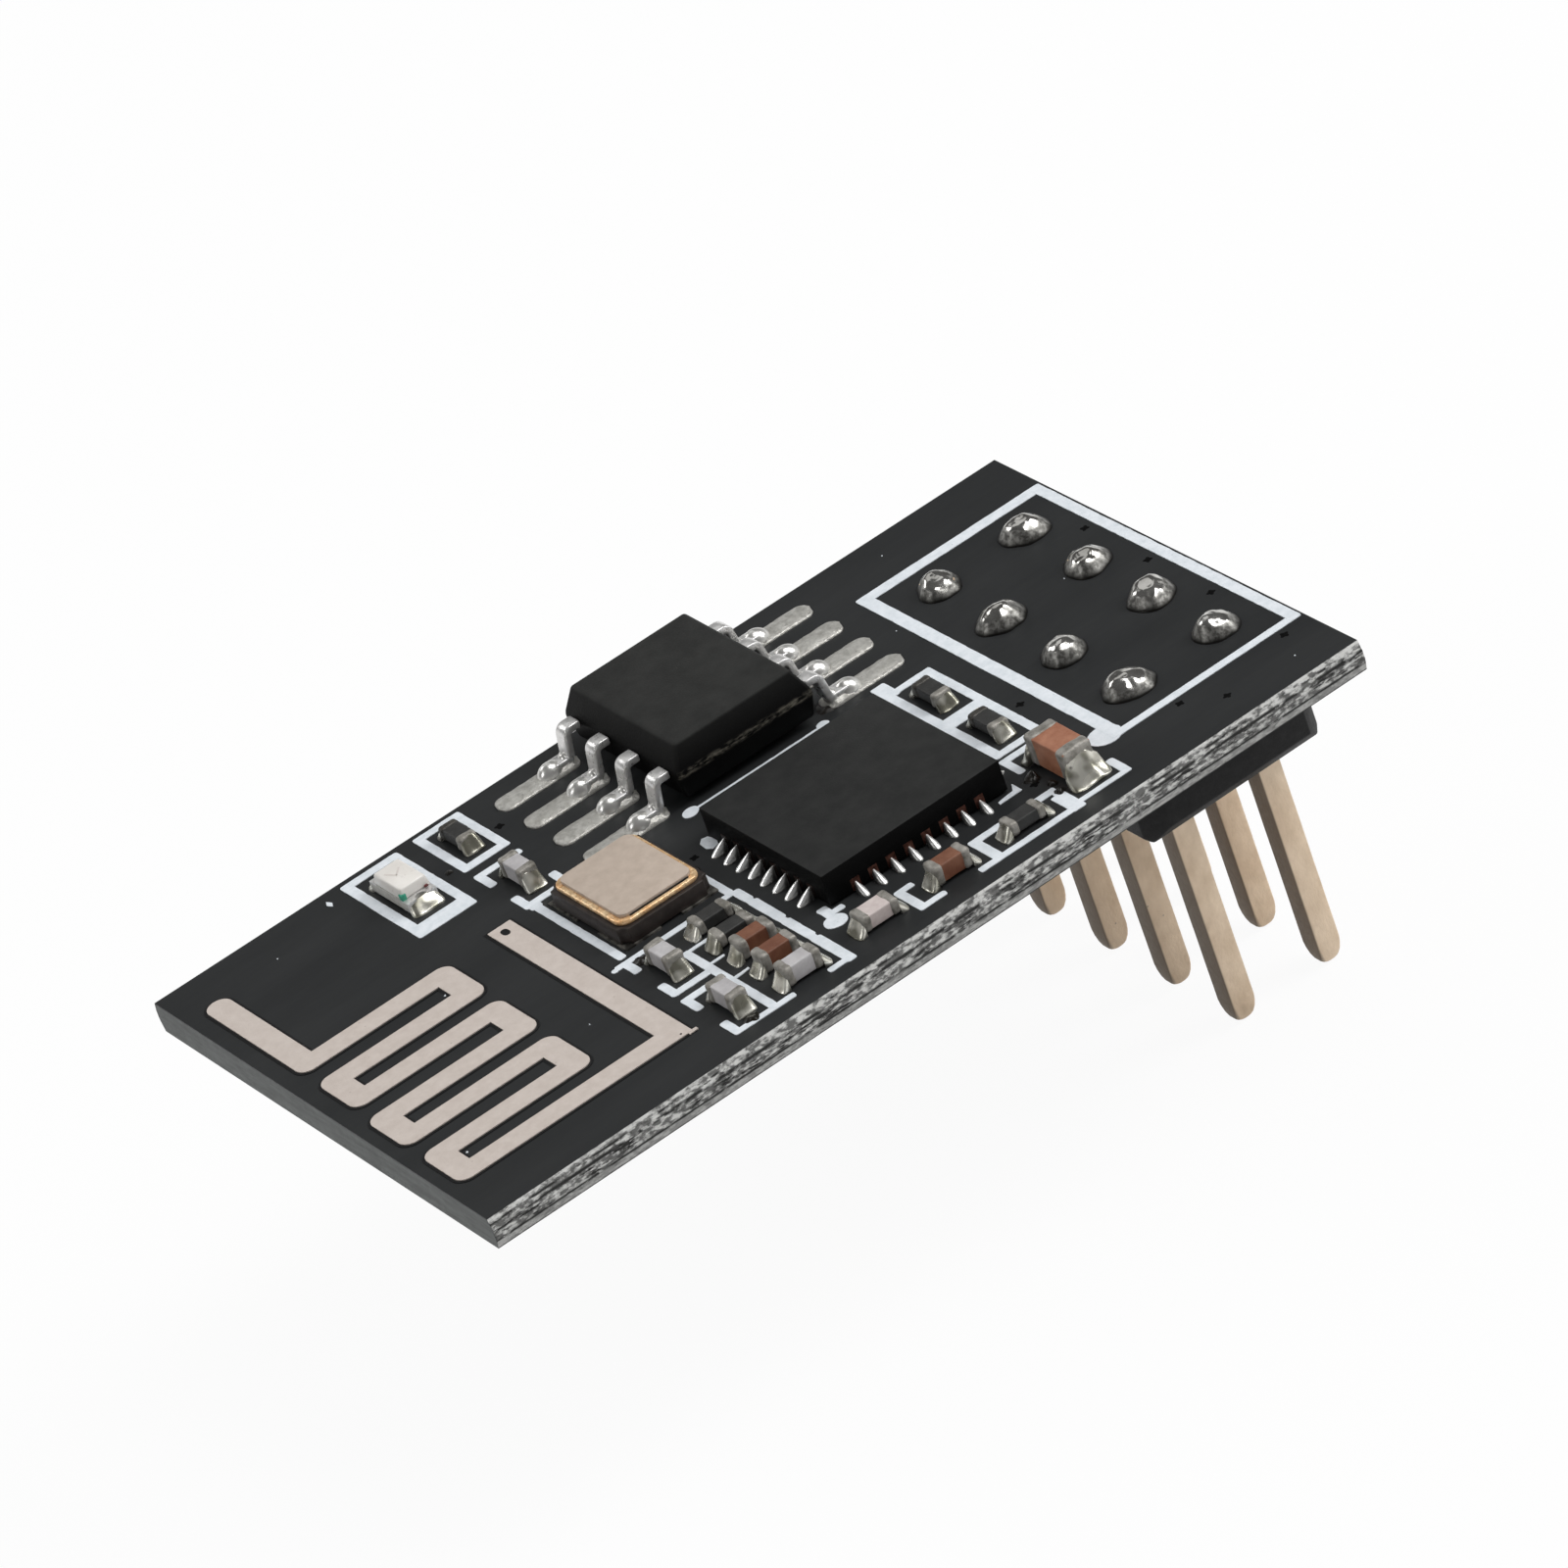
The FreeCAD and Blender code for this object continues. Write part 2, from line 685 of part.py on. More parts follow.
def radio_print():
    """The back line of the radio chip with a blot at each end, its corner marks and its first-land dot."""
    left, right = radio_x - radio_side / 2, radio_x + radio_side / 2
    front, back = radio_y - radio_side / 2, radio_y + radio_side / 2
    line_y = back + radio_line_gap
    start_x, end_x = left + radio_line_start, right - radio_line_end
    mark_x, mark_y = left - radio_mark_gap, front - radio_mark_gap
    reach = print_line + radio_mark_gap
    corner = [Vector(right + print_line, mark_y, board_top),
              Vector(right + print_line, front - reach, board_top),
              Vector(right - radio_mark_length, front - reach, board_top),
              Vector(right, mark_y, board_top)]
    return [bar(start_x - radio_blot / 2, end_x, line_y, line_y + print_fine_line),
            bar(start_x - radio_blot, start_x, line_y - print_fine_line, line_y + radio_blot),
            bar(end_x, end_x + radio_blot, line_y - print_fine_line / 2, line_y + radio_blot),
            bar(mark_x - print_line, mark_x, back - radio_mark_length / 2, back + radio_mark_length / 2),
            bar(mark_x - print_line, mark_x, front - radio_mark_length / 2, front + radio_mark_length / 2),
            bar(mark_x - print_line, left + print_line, front - reach, mark_y),
            print_round(left - print_line, front - radio_dot_gap, radio_dot_diameter),
            prism(corner, Vector(0, 0, print_height))]


def passive_print():
    """Boxes and lines round the chip resistors and capacitors."""
    small = (small_window_length, small_window_width)
    large = (large_window_length, large_window_width)
    r, c = resistor_places, capacitor_places
    marks = []
    for place in (r[1], r[4], r[5], r[6]):
        marks.extend(window_frame(place, *small))
    for place in (c[1], c[2], c[3]):
        marks.extend(window_frame(place, *small, small_gap_length, (1,)))
    marks.extend(window_frame(c[8], *small, small_gap_length))
    marks.extend(window_frame(c[9], *large, large_gap_length))
    stub_x = c[1][0] + small_window_width / 2
    stub_y = c[1][1] - small_window_length / 2 - print_line
    group_left = c[2][0] + small_window_width / 2
    group_right = r[2][0] + group_line_beyond
    group_front = c[3][1] - small_window_length / 2 - print_line
    group_back = group_front + print_thin_line
    marks.append(bar(stub_x, stub_x + print_line, stub_y, stub_y + corner_stub_length))
    marks.append(bar(group_left, group_left + print_line, group_front, r[2][1] - group_line_start))
    marks.append(bar(group_right, group_right + print_line, group_front, r[2][1] + group_line_rise))
    marks.append(bar(group_left, group_left + group_line_stub, group_front, group_back))
    marks.append(bar(group_right - group_line_foot, group_right + print_line, group_front, group_back))
    return marks


def light_print():
    """The box round the light, thicker at its marked end, and the small diamond beside it."""
    middle_y = light_y + light_print_shift
    frame = window_frame((light_x, middle_y, 90), large_window_length, large_window_width)
    front = middle_y - large_window_length / 2
    side = large_window_width / 2 + print_line
    frame.append(bar(light_x - side, light_x + side, front - light_print_mark, front))
    dot = light_print_dot
    dot_x, dot_y = light_x - side - 3 * dot, middle_y + large_window_length / 2 - dot
    diamond = [Vector(dot_x + dx, dot_y + dy, board_top)
               for dx, dy in ((-dot / 2, 0), (0, -dot), (dot / 2, 0), (0, dot))]
    return frame + [prism(diamond, Vector(0, 0, print_height))]


def legend():
    """All the white print on the component side, as one thin layer."""
    marks = header_print() + crystal_print() + radio_print() + passive_print() + light_print()
    return marks[0].fuse(marks[1:]).removeSplitter()


def build():
    """Every node of the module, by name."""
    nodes = {"circuit_board": circuit_board(), "aerial_strip": aerial(), "printed_legend": legend(),
             "header_strip": header_strip(),
             "header_joints": Part.makeCompound([header_joint(x, y) for x, y in pins]),
             "radio_chip_body": radio_body(), "radio_chip_lands": radio_lands(),
             "radio_chip_joints": radio_joints(), "memory_chip_body": memory_body(),
             "memory_chip_leads": memory_leads(), "memory_chip_pads": memory_pads(),
             "crystal_base": crystal_base(), "crystal_ring": crystal_ring(),
             "crystal_lid": crystal_lid(), "crystal_joints": crystal_joints(),
             "light_base": light_base(), "light_lens": light_lens(),
             "light_terminals": light_terminals(), "light_joints": light_joints()}
    for index, (x, y) in enumerate(pins):
        nodes[f"header_pin_{index + 1}"] = header_pin(x, y)
    small_joints = []
    for kind, places in (("resistor", resistor_places), ("capacitor", capacitor_places)):
        for number in places:
            body, ends, joints = chip_part(kind, number)
            nodes[f"{kind}_{number}_body"] = body
            nodes[f"{kind}_{number}_ends"] = ends
            small_joints.extend(joints)
    nodes["chip_part_joints"] = Part.makeCompound(small_joints)
    return nodes


os.makedirs("parts", exist_ok=True)
for name, shape in build().items():
    shape.exportStep(f"parts/{name}.step")
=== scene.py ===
import logging
import math
import random
from dataclasses import dataclass, field
from enum import Enum
from typing import Callable, Iterator, Mapping, Optional, Sequence

import bmesh
import bpy
from mathutils import Euler, Matrix, Vector, noise


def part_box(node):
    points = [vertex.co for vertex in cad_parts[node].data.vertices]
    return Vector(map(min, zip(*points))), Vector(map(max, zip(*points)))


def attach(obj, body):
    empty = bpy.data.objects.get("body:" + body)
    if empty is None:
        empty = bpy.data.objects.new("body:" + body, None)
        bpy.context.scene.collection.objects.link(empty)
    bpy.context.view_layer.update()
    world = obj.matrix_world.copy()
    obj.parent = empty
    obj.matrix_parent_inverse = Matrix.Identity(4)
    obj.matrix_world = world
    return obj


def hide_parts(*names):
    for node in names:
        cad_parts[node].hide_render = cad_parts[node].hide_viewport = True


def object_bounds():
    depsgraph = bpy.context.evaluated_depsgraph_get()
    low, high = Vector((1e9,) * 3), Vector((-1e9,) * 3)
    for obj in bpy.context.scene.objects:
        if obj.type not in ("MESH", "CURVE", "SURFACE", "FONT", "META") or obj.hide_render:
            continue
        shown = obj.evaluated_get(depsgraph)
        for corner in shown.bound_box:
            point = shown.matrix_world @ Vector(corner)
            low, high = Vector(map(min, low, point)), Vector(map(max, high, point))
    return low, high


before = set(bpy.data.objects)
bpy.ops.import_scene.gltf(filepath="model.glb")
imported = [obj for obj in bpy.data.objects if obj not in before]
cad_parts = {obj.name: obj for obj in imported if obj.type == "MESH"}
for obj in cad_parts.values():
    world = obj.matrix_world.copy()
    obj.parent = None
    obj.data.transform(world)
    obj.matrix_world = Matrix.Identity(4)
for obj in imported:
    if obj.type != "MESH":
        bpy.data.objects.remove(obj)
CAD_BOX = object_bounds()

# Looks of a small plug-in radio module. Lengths are in millimetres and become metres when a mesh is made.
# The frame is the CAD frame: +X from the aerial to the header, +Y away from the viewer, +Z up.

MM = 0.001
MICRON = 0.000001
BODY = "root"
LOG = logging.getLogger("radio_module")

Colour = tuple[float, float, float]
Point = tuple[float, float, float]
Spot = tuple[float, float]
Sides = tuple[float, float, float, float]
Place = Callable[[float, float], Point]
Socket = bpy.types.NodeSocket

EVEN: Point = (1.0, 1.0, 1.0)
WHITE: Colour = (1.0, 1.0, 1.0)
MERGE = 0.0005        # points of a CAD mesh this close are one
SUNK = 0.002          # how far thin blots reach into the board
ROOTED = 0.005        # how far solder reaches into the board
LUMPY = 70.0          # degrees: solder's edges flatter than this are shaded smooth
ALL_SMOOTH = 180.0


def node_box(node: str) -> tuple[Vector, Vector]:
    """The lowest and highest corners of a CAD node, in millimetres.

    Args:
        node: the node's name.

    Returns:
        The two corners.
    """
    low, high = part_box(node)
    return Vector(low) / MM, Vector(high) / MM


BOARD_LOW, BOARD_HIGH = node_box("circuit_board")
BOARD_TOP = BOARD_HIGH.z


class Axis(Enum):
    """The three axes, by their place in a vector."""

    X = 0
    Y = 1
    Z = 2


class Kind(Enum):
    """The kinds of chip part, by the first word of their nodes' names."""

    RESISTOR = "resistor"
    CAPACITOR = "capacitor"


def wobble(x: float, y: float, z: float, scale: float) -> float:
    """Smooth noise between about -1 and 1, at a place and with a scale in waves per millimetre."""
    return noise.noise(Vector((x * scale, y * scale, z * scale)))


def polar(reach: float, angle: float) -> Spot:
    """The offset of a point at a distance and an angle."""
    return reach * math.cos(angle), reach * math.sin(angle)


def arch(share: float, power: float = 2) -> float:
    """The height share of a round back at a share of its half width."""
    return math.sqrt(max(0.0, 1 - share ** power))


# Shader nodes


@dataclass
class Nodes:
    """Adds and joins nodes in one shader tree."""

    tree: bpy.types.NodeTree

    def feed(self, socket: Socket, value: object) -> None:
        """Joins a socket to another one, or sets its own value.

        Args:
            socket: the socket to fill.
            value: a socket, a number, a vector or a colour.
        """
        if isinstance(value, Socket):
            self.tree.links.new(value, socket)
        else:
            socket.default_value = (*value, 1.0) if socket.type == "RGBA" else value

    def add(self, kind: str, inputs: Optional[Mapping[object, object]] = None,
            **options: object) -> bpy.types.Node:
        """Adds a node.

        Args:
            kind: Blender's name of the node, without its first word.
            inputs: what its sockets get.
            options: the node's own settings.

        Returns:
            The node.
        """
        node = self.tree.nodes.new(f"ShaderNode{kind}")
        for option, value in options.items():
            setattr(node, option, value)
        for key, value in (inputs or {}).items():
            self.feed(node.inputs[key], value)
        return node

    def calc(self, operation: str, first: object, second: object = 0.0) -> Socket:
        """The result of a sum with two numbers or sockets."""
        return self.add("Math", {0: first, 1: second}, operation=operation).outputs[0]

    def times(self, first: object, second: object) -> Socket:
        """The product of two numbers or sockets."""
        return self.calc("MULTIPLY", first, second)

    def level(self, value: object, none: object, full: object, low: float = 0.0, high: float = 1.0) -> Socket:
        """Numbers that go from low to high as the value goes from none to full."""
        limits = {"Value": value, "From Min": none, "From Max": full, "To Min": low, "To Max": high}
        return self.add("MapRange", limits).outputs[0]

    def blend(self, mask: Socket, under: object, over: object) -> Socket:
        """A colour under a second one, which shows where the mask is full."""
        return self.add("Mix", {0: mask, 6: under, 7: over}, data_type="RGBA").outputs[2]

    def normal(self, axis: Axis) -> Socket:
        """How far each face points along an axis, from -1 to 1."""
        return self.add("SeparateXYZ", {0: self.add("TexCoord").outputs["Normal"]}).outputs[axis.value]

    def facing(self, axis: Axis, none: float, full: float) -> Socket:
        """A mask by how far each face points along an axis."""
        return self.level(self.normal(axis), none, full)

    def rays(self, *kinds: str) -> Socket:
        """A mask of the rays of one or more kinds.

        Args:
            kinds: Blender's names of the kinds.

        Returns:
            The mask socket.
        """
        path = self.add("LightPath").outputs
        mask = path[kinds[0]]
        for kind in kinds[1:]:
            mask = self.calc("MAXIMUM", mask, path[kind])
        return mask


@dataclass(frozen=True)
class MaskGroup:
    """A shader node group that puts out a mask, built once and placed with each material's own values."""

    name: str
    values: Mapping[str, object]

    def tree(self) -> bpy.types.NodeTree:
        """Builds the group, or returns the one already built.

        Returns:
            The group.
        """
        found = bpy.data.node_groups.get(self.name)
        if found:
            return found
        group = bpy.data.node_groups.new(self.name, "ShaderNodeTree")
        for title, value in self.values.items():
            kind = "NodeSocketVector" if isinstance(value, tuple) else "NodeSocketFloat"
            group.interface.new_socket(name=title, in_out="INPUT", socket_type=kind).default_value = value
        group.interface.new_socket(name="Mask", in_out="OUTPUT", socket_type="NodeSocketFloat")
        nodes = Nodes(group)
        start, end = group.nodes.new("NodeGroupInput"), group.nodes.new("NodeGroupOutput")
        where = nodes.add("TexCoord").outputs["Object"]
        nodes.feed(end.inputs["Mask"], self.mask(nodes, start.outputs, where))
        return group

    def mask(self, nodes: Nodes, given: Mapping[str, Socket], place: Socket) -> Socket:
        """Builds the mask; each kind of group has its own way.

        Args:
            nodes: the group's nodes.
            given: the values given to the group.
            place: the place on the surface.

        Returns:
            The mask socket.
        """
        raise NotImplementedError

    def put(self, nodes: Nodes, **values: object) -> Socket:
        """Places the group in a material.

        Args:
            nodes: the material's nodes.
            values: the group's values in this material.

        Returns:
            The mask socket.
        """
        node = nodes.add("Group", node_tree=self.tree())
        for title, value in values.items():
            node.inputs[title.title()].default_value = value
        return node.outputs["Mask"]


class GrainGroup(MaskGroup):
    """Stretched noise, for grain, streaks and mottling."""

    def mask(self, nodes: Nodes, given: Mapping[str, Socket], place: Socket) -> Socket:
        """Noise between two levels.

        Args:
            nodes: the group's nodes.
            given: the values given to the group.
            place: the place on the surface.

        Returns:
            The mask socket.
        """
        stretched = nodes.add("VectorMath", {0: place, 1: given["Stretch"]}, operation="MULTIPLY").outputs[0]
        cloud = nodes.add("TexNoise", {"Vector": stretched, "W": given["Seed"], "Scale": given["Scale"],
                                       "Detail": given["Detail"], "Roughness": 0.6}, noise_dimensions="4D")
        return nodes.level(cloud.outputs[0], given["Low"], given["High"])


class SpecksGroup(MaskGroup):
    """Scattered dots, for dust, pits and filler grains."""

    def mask(self, nodes: Nodes, given: Mapping[str, Socket], place: Socket) -> Socket:
        """A dot in a share of the cells.

        Args:
            nodes: the group's nodes.
            given: the values given to the group.
            place: the place on the surface.

        Returns:
            The mask socket.
        """
        cells = nodes.add("TexVoronoi", {"Vector": place, "Scale": given["Scale"]}).outputs
        near = nodes.level(cells["Distance"], 0.0, given["Size"], 1.0, 0.0)
        draw = nodes.add("SeparateColor", {0: cells["Color"]}).outputs[0]
        return nodes.times(near, nodes.calc("LESS_THAN", draw, given["Share"]))


class BandGroup(MaskGroup):
    """A soft level band, for a line at a given height."""

    def mask(self, nodes: Nodes, given: Mapping[str, Socket], place: Socket) -> Socket:
        """Full within reach of the middle height, and fading over the blur.

        Args:
            nodes: the group's nodes.
            given: the values given to the group.
            place: the place on the surface.

        Returns:
            The mask socket.
        """
        height = nodes.add("SeparateXYZ", {0: place}).outputs["Z"]
        gap = nodes.calc("ABSOLUTE", nodes.calc("SUBTRACT", height, given["Middle"]))
        return nodes.level(gap, given["Reach"], nodes.calc("ADD", given["Reach"], given["Blur"]), 1.0, 0.0)


GRAIN = GrainGroup("grain", {"Scale": 5000.0, "Stretch": EVEN, "Low": 0.35, "High": 0.65, "Seed": 0.0,
                             "Detail": 5.0})
SPECKS = SpecksGroup("specks", {"Scale": 2000.0, "Size": 0.12, "Share": 0.2})
BAND = BandGroup("band", {"Middle": 0.0, "Reach": 0.0001, "Blur": 0.00005})


@dataclass(frozen=True)
class Grain:
    """One layer of grain: waves per millimetre, and the noise levels where its mask begins and is full."""

    waves: float
    stretch: Point = EVEN
    low: float = 0.35
    high: float = 0.65
    seed: float = 0.0
    detail: float = 5.0

    def put(self, nodes: Nodes) -> Socket:
        """Places the grain in a material and gives its mask."""
        return GRAIN.put(nodes, scale=self.waves / MM, stretch=self.stretch, low=self.low, high=self.high,
                         seed=self.seed, detail=self.detail)


@dataclass(frozen=True)
class Band:
    """A band round a height, and the width of its soft edge, in millimetres."""

    middle: float
    reach: float
    blur: float

    def put(self, nodes: Nodes) -> Socket:
        """Places the band in a material and gives its mask."""
        return BAND.put(nodes, middle=self.middle * MM, reach=self.reach * MM, blur=self.blur * MM)


# Finishes


@dataclass(frozen=True)
class Finish:
    """A surface: two colours mixed by grain, specks over them, and a fine relief.

    Grain sizes are in waves per millimetre and relief is in micrometres.
    """

    name: str
    slot: str
    colour: Colour
    second: Colour
    grain: float = 6.0
    grain_detail: float = 5.0
    stretch: Point = EVEN
    low: float = 0.35
    high: float = 0.65
    roughness: float = 0.5
    rougher: float = 0.12
    metallic: float = 0.0
    specular: float = 0.5
    coat: float = 0.0
    coat_roughness: float = 0.12
    relief: float = 2.0
    relief_grain: float = 18.0
    relief_detail: float = 5.0
    speck: Optional[Colour] = None
    speck_scale: float = 3.0
    speck_size: float = 0.12
    speck_share: float = 0.15

    def material(self) -> bpy.types.Material:
        """Builds the material, or returns the one already built.

        Returns:
            The material.
        """
        title = f"{self.name}_look"
        found = bpy.data.materials.get(title)
        if found:
            return found
        made = bpy.data.materials.new(title)
        made.use_nodes = True
        nodes = Nodes(made.node_tree)
        fine = Grain(self.relief_grain, self.stretch, 0.3, 0.7, 7.0, self.relief_detail).put(nodes)
        bump = nodes.add("Bump", {"Distance": self.relief * MICRON, "Height": self.height(nodes, fine)})
        inputs = made.node_tree.nodes["Principled BSDF"].inputs
        for socket, value in (("Base Color", self.colours(nodes)), ("Roughness", self.dullness(nodes, fine)),
                              ("Metallic", self.metallic), ("Specular IOR Level", self.specular),
                              ("Coat Weight", self.coat), ("Coat Roughness", self.coat_roughness),
                              ("Normal", bump.outputs[0])):
            nodes.feed(inputs[socket], value)
        return made

    def colours(self, nodes: Nodes) -> Socket:
        """The surface's colour: two colours by grain, and specks if it has them.

        Args:
            nodes: the material's nodes.

        Returns:
            The colour socket.
        """
        patches = Grain(self.grain, self.stretch, self.low, self.high, detail=self.grain_detail)
        colour = nodes.blend(patches.put(nodes), self.colour, self.second)
        if self.speck is None:
            return colour
        dots = SPECKS.put(nodes, scale=self.speck_scale / MM, size=self.speck_size, share=self.speck_share)
        return nodes.blend(dots, colour, self.speck)

    def dullness(self, nodes: Nodes, fine: Socket) -> Socket:
        """The roughness, uneven by the fine grain."""
        return nodes.level(fine, 0.0, 1.0, self.roughness, min(1.0, self.roughness + self.rougher))

    def height(self, nodes: Nodes, fine: Socket) -> Socket:
        """The relief's height, which is the fine grain."""
        return fine


@dataclass(frozen=True)
class MaskFinish(Finish):
    """Solder mask on the faces, and the sawn glass fibre on the board's two short ends."""

    end_colour: Colour = (0.032, 0.037, 0.035)
    end_second: Colour = (0.082, 0.092, 0.088)
    end_grain: Grain = Grain(3.5, (1.0, 0.3, 2.5), 0.34, 0.66, 3.0)
    skin: Band = Band(BOARD_TOP, 0.03, 0.02)

    def colours(self, nodes: Nodes) -> Socket:
        """The mask's colour, and the fibre's under a thin skin of mask on the ends.

        Args:
            nodes: the material's nodes.

        Returns:
            The colour socket.
        """
        face = super().colours(nodes)
        sawn = nodes.blend(self.end_grain.put(nodes), self.end_colour, self.end_second)
        sawn = nodes.blend(self.skin.put(nodes), sawn, face)
        ends = nodes.calc("GREATER_THAN", nodes.calc("ABSOLUTE", nodes.normal(Axis.X)), 0.5)
        return nodes.blend(ends, face, sawn)


@dataclass(frozen=True)
class FibreFinish(Finish):
    """Torn glass fibre: crumbly pale bevels with a web of broken threads between them, and painted shade in
    its gaps and cracks.
    """

    # painted shade: the near-black colour of the gaps and cracks
    gap: Colour = (0.018, 0.018, 0.017)
    web: Band = Band(2.90, 0.10, 0.10)
    threads: Grain = Grain(13.0, (0.13, 1.0, 1.0), 0.49, 0.54, 5.0)
    breaks: Grain = Grain(2.4, (0.5, 1.0, 1.0), 0.40, 0.55, 9.0)
    few: Grain = Grain(11.0, (0.3, 1.0, 1.0), 0.60, 0.66, 2.0)
    few_share: float = 0.8
    lower: Band = Band(2.61, 0.07, 0.05)
    lower_share: float = 0.65
    lower_colour: Colour = (0.36, 0.36, 0.35)
    cracks: tuple[tuple[Band, Grain], ...] = tuple(
        (Band(place, reach, 0.035), Grain(3.0, (0.4, 1.0, 1.0), level, level + 0.06, place))
        for place, reach, level in ((2.735, 0.016, 0.40), (3.05, 0.022, 0.43), (3.17, 0.012, 0.50)))
    rim: Band = Band(BOARD_TOP - 0.03, 0.02, 0.03)
    crumbs: Grain = Grain(5.0, (0.6, 1.0, 1.0), 0.44, 0.56, 1.0)
    rim_colour: Colour = (0.72, 0.72, 0.70)
    foot: Band = Band(BOARD_LOW.z, 0.022, 0.015)
    foot_colour: Colour = (0.03, 0.03, 0.03)

    def torn(self, nodes: Nodes) -> Socket:
        """The gaps, which get painted shade: many in the web, a few in the bevels.

        Args:
            nodes: the material's nodes.

        Returns:
            The mask socket.
        """
        many = nodes.times(nodes.times(self.threads.put(nodes), self.web.put(nodes)), self.breaks.put(nodes))
        return nodes.calc("MAXIMUM", many, nodes.times(self.few.put(nodes), self.few_share))

    def colours(self, nodes: Nodes) -> Socket:
        """Pale crumbs over the gaps and ragged cracks in painted shade, the smooth lower band and its dark
        rim.

        Args:
            nodes: the material's nodes.

        Returns:
            The colour socket.
        """
        lined = nodes.blend(self.torn(nodes), super().colours(nodes), self.gap)
        lined = nodes.blend(nodes.times(self.lower.put(nodes), self.lower_share), lined, self.lower_colour)
        for crack, ragged in self.cracks:
            lined = nodes.blend(nodes.times(crack.put(nodes), ragged.put(nodes)), lined, self.gap)
        lined = nodes.blend(nodes.times(self.rim.put(nodes), self.crumbs.put(nodes)), lined, self.rim_colour)
        return nodes.blend(self.foot.put(nodes), lined, self.foot_colour)

    def height(self, nodes: Nodes, fine: Socket) -> Socket:
        """The crumbs' relief with the gaps sunk into it."""
        return nodes.calc("SUBTRACT", fine, self.torn(nodes))


@dataclass(frozen=True)
class ShadedSideFinish(Finish):
    """Plating with painted shade on the faces that point one way, and a few brown stains."""

    # painted shade: the colour that darkens the faces pointing against the axis
    painted_shade: Colour = (0.115, 0.088, 0.066)
    painted_shade_share: float = 0.88
    stain: Colour = (0.26, 0.155, 0.075)
    stains: Grain = Grain(0.55, (1.0, 1.0, 0.6), 0.60, 0.78, 11.0)
    stain_share: float = 0.7
    axis: Axis = Axis.X
    begin: float = -0.35
    full: float = -0.85

    def colours(self, nodes: Nodes) -> Socket:
        """Plating, stains, and painted shade on the faces that point one way.

        Args:
            nodes: the material's nodes.

        Returns:
            The colour socket.
        """
        stains = nodes.times(self.stains.put(nodes), self.stain_share)
        bright = nodes.blend(stains, super().colours(nodes), self.stain)
        # painted shade on the faces that point against the axis
        turned = nodes.times(nodes.facing(self.axis, self.begin, self.full), self.painted_shade_share)
        return nodes.blend(turned, bright, self.painted_shade)


@dataclass(frozen=True)
class MouldedFinish(Finish):
    """Moulding compound with painted shade on its flanks, and a scuffed parting line if its height is given.
    """

    line: Optional[Band] = None
    rubs: Grain = Grain(5.0, (0.8, 0.8, 2.4), 0.44, 0.72, 2.0)
    scuff: Colour = (0.21, 0.195, 0.16)
    # painted shade: the near-black colour of the flanks
    flank: Colour = (0.004, 0.004, 0.004)

    def colours(self, nodes: Nodes) -> Socket:
        """Charcoal with fine filler grains, painted shade on the flanks, and the scuffs on the parting line.

        Args:
            nodes: the material's nodes.

        Returns:
            The colour socket.
        """
        # painted shade: faces that turn from up towards the side blend into the flank colour
        plain = nodes.blend(nodes.facing(Axis.Z, 0.80, 0.30), super().colours(nodes), self.flank)
        if self.line is None:
            return plain
        rubbed = nodes.times(self.rubs.put(nodes), nodes.facing(Axis.Y, -0.3, -0.7))
        return nodes.blend(nodes.times(self.line.put(nodes), rubbed), plain, self.scuff)


@dataclass(frozen=True)
class DomeFinish(Finish):
    """Solder that is bright and smooth on a crown and matte, grey and pitted on its skirt, with painted shade
    at its foot.
    """

    # painted shade: a dark band round the foot, at the board's height
    rim: Band = Band(BOARD_TOP, 0.035, 0.10)
    rim_colour: Colour = (0.022, 0.021, 0.019)
    islands: Grain = Grain(1.5, EVEN, 0.30, 0.42, 4.0)
    pits: Grain = Grain(9.0, EVEN, 0.42, 0.58, 6.0)
    skirt: Colour = (0.13, 0.127, 0.118)
    skirt_second: Colour = (0.34, 0.335, 0.315)
    skirt_roughness: float = 0.42

    def crown(self, nodes: Nodes) -> Socket:
        """The smooth places: the crown's gentle slopes, with a few matte islands."""
        return nodes.times(nodes.facing(Axis.Z, 0.68, 0.78), self.islands.put(nodes))

    def colours(self, nodes: Nodes) -> Socket:
        """The skirt's pitted grey under the crown's bright metal, and painted shade in a dark band at the
        foot.

        Args:
            nodes: the material's nodes.

        Returns:
            The colour socket.
        """
        pitted = nodes.blend(self.pits.put(nodes), self.skirt, self.skirt_second)
        whole = nodes.blend(self.crown(nodes), pitted, super().colours(nodes))
        # painted shade at the foot
        return nodes.blend(self.rim.put(nodes), whole, self.rim_colour)

    def dullness(self, nodes: Nodes, fine: Socket) -> Socket:
        """The roughness, with a skirt that is duller than the crown."""
        smooth = super().dullness(nodes, fine)
        return nodes.add("Mix", {0: self.crown(nodes), 2: self.skirt_roughness, 3: smooth}).outputs[0]


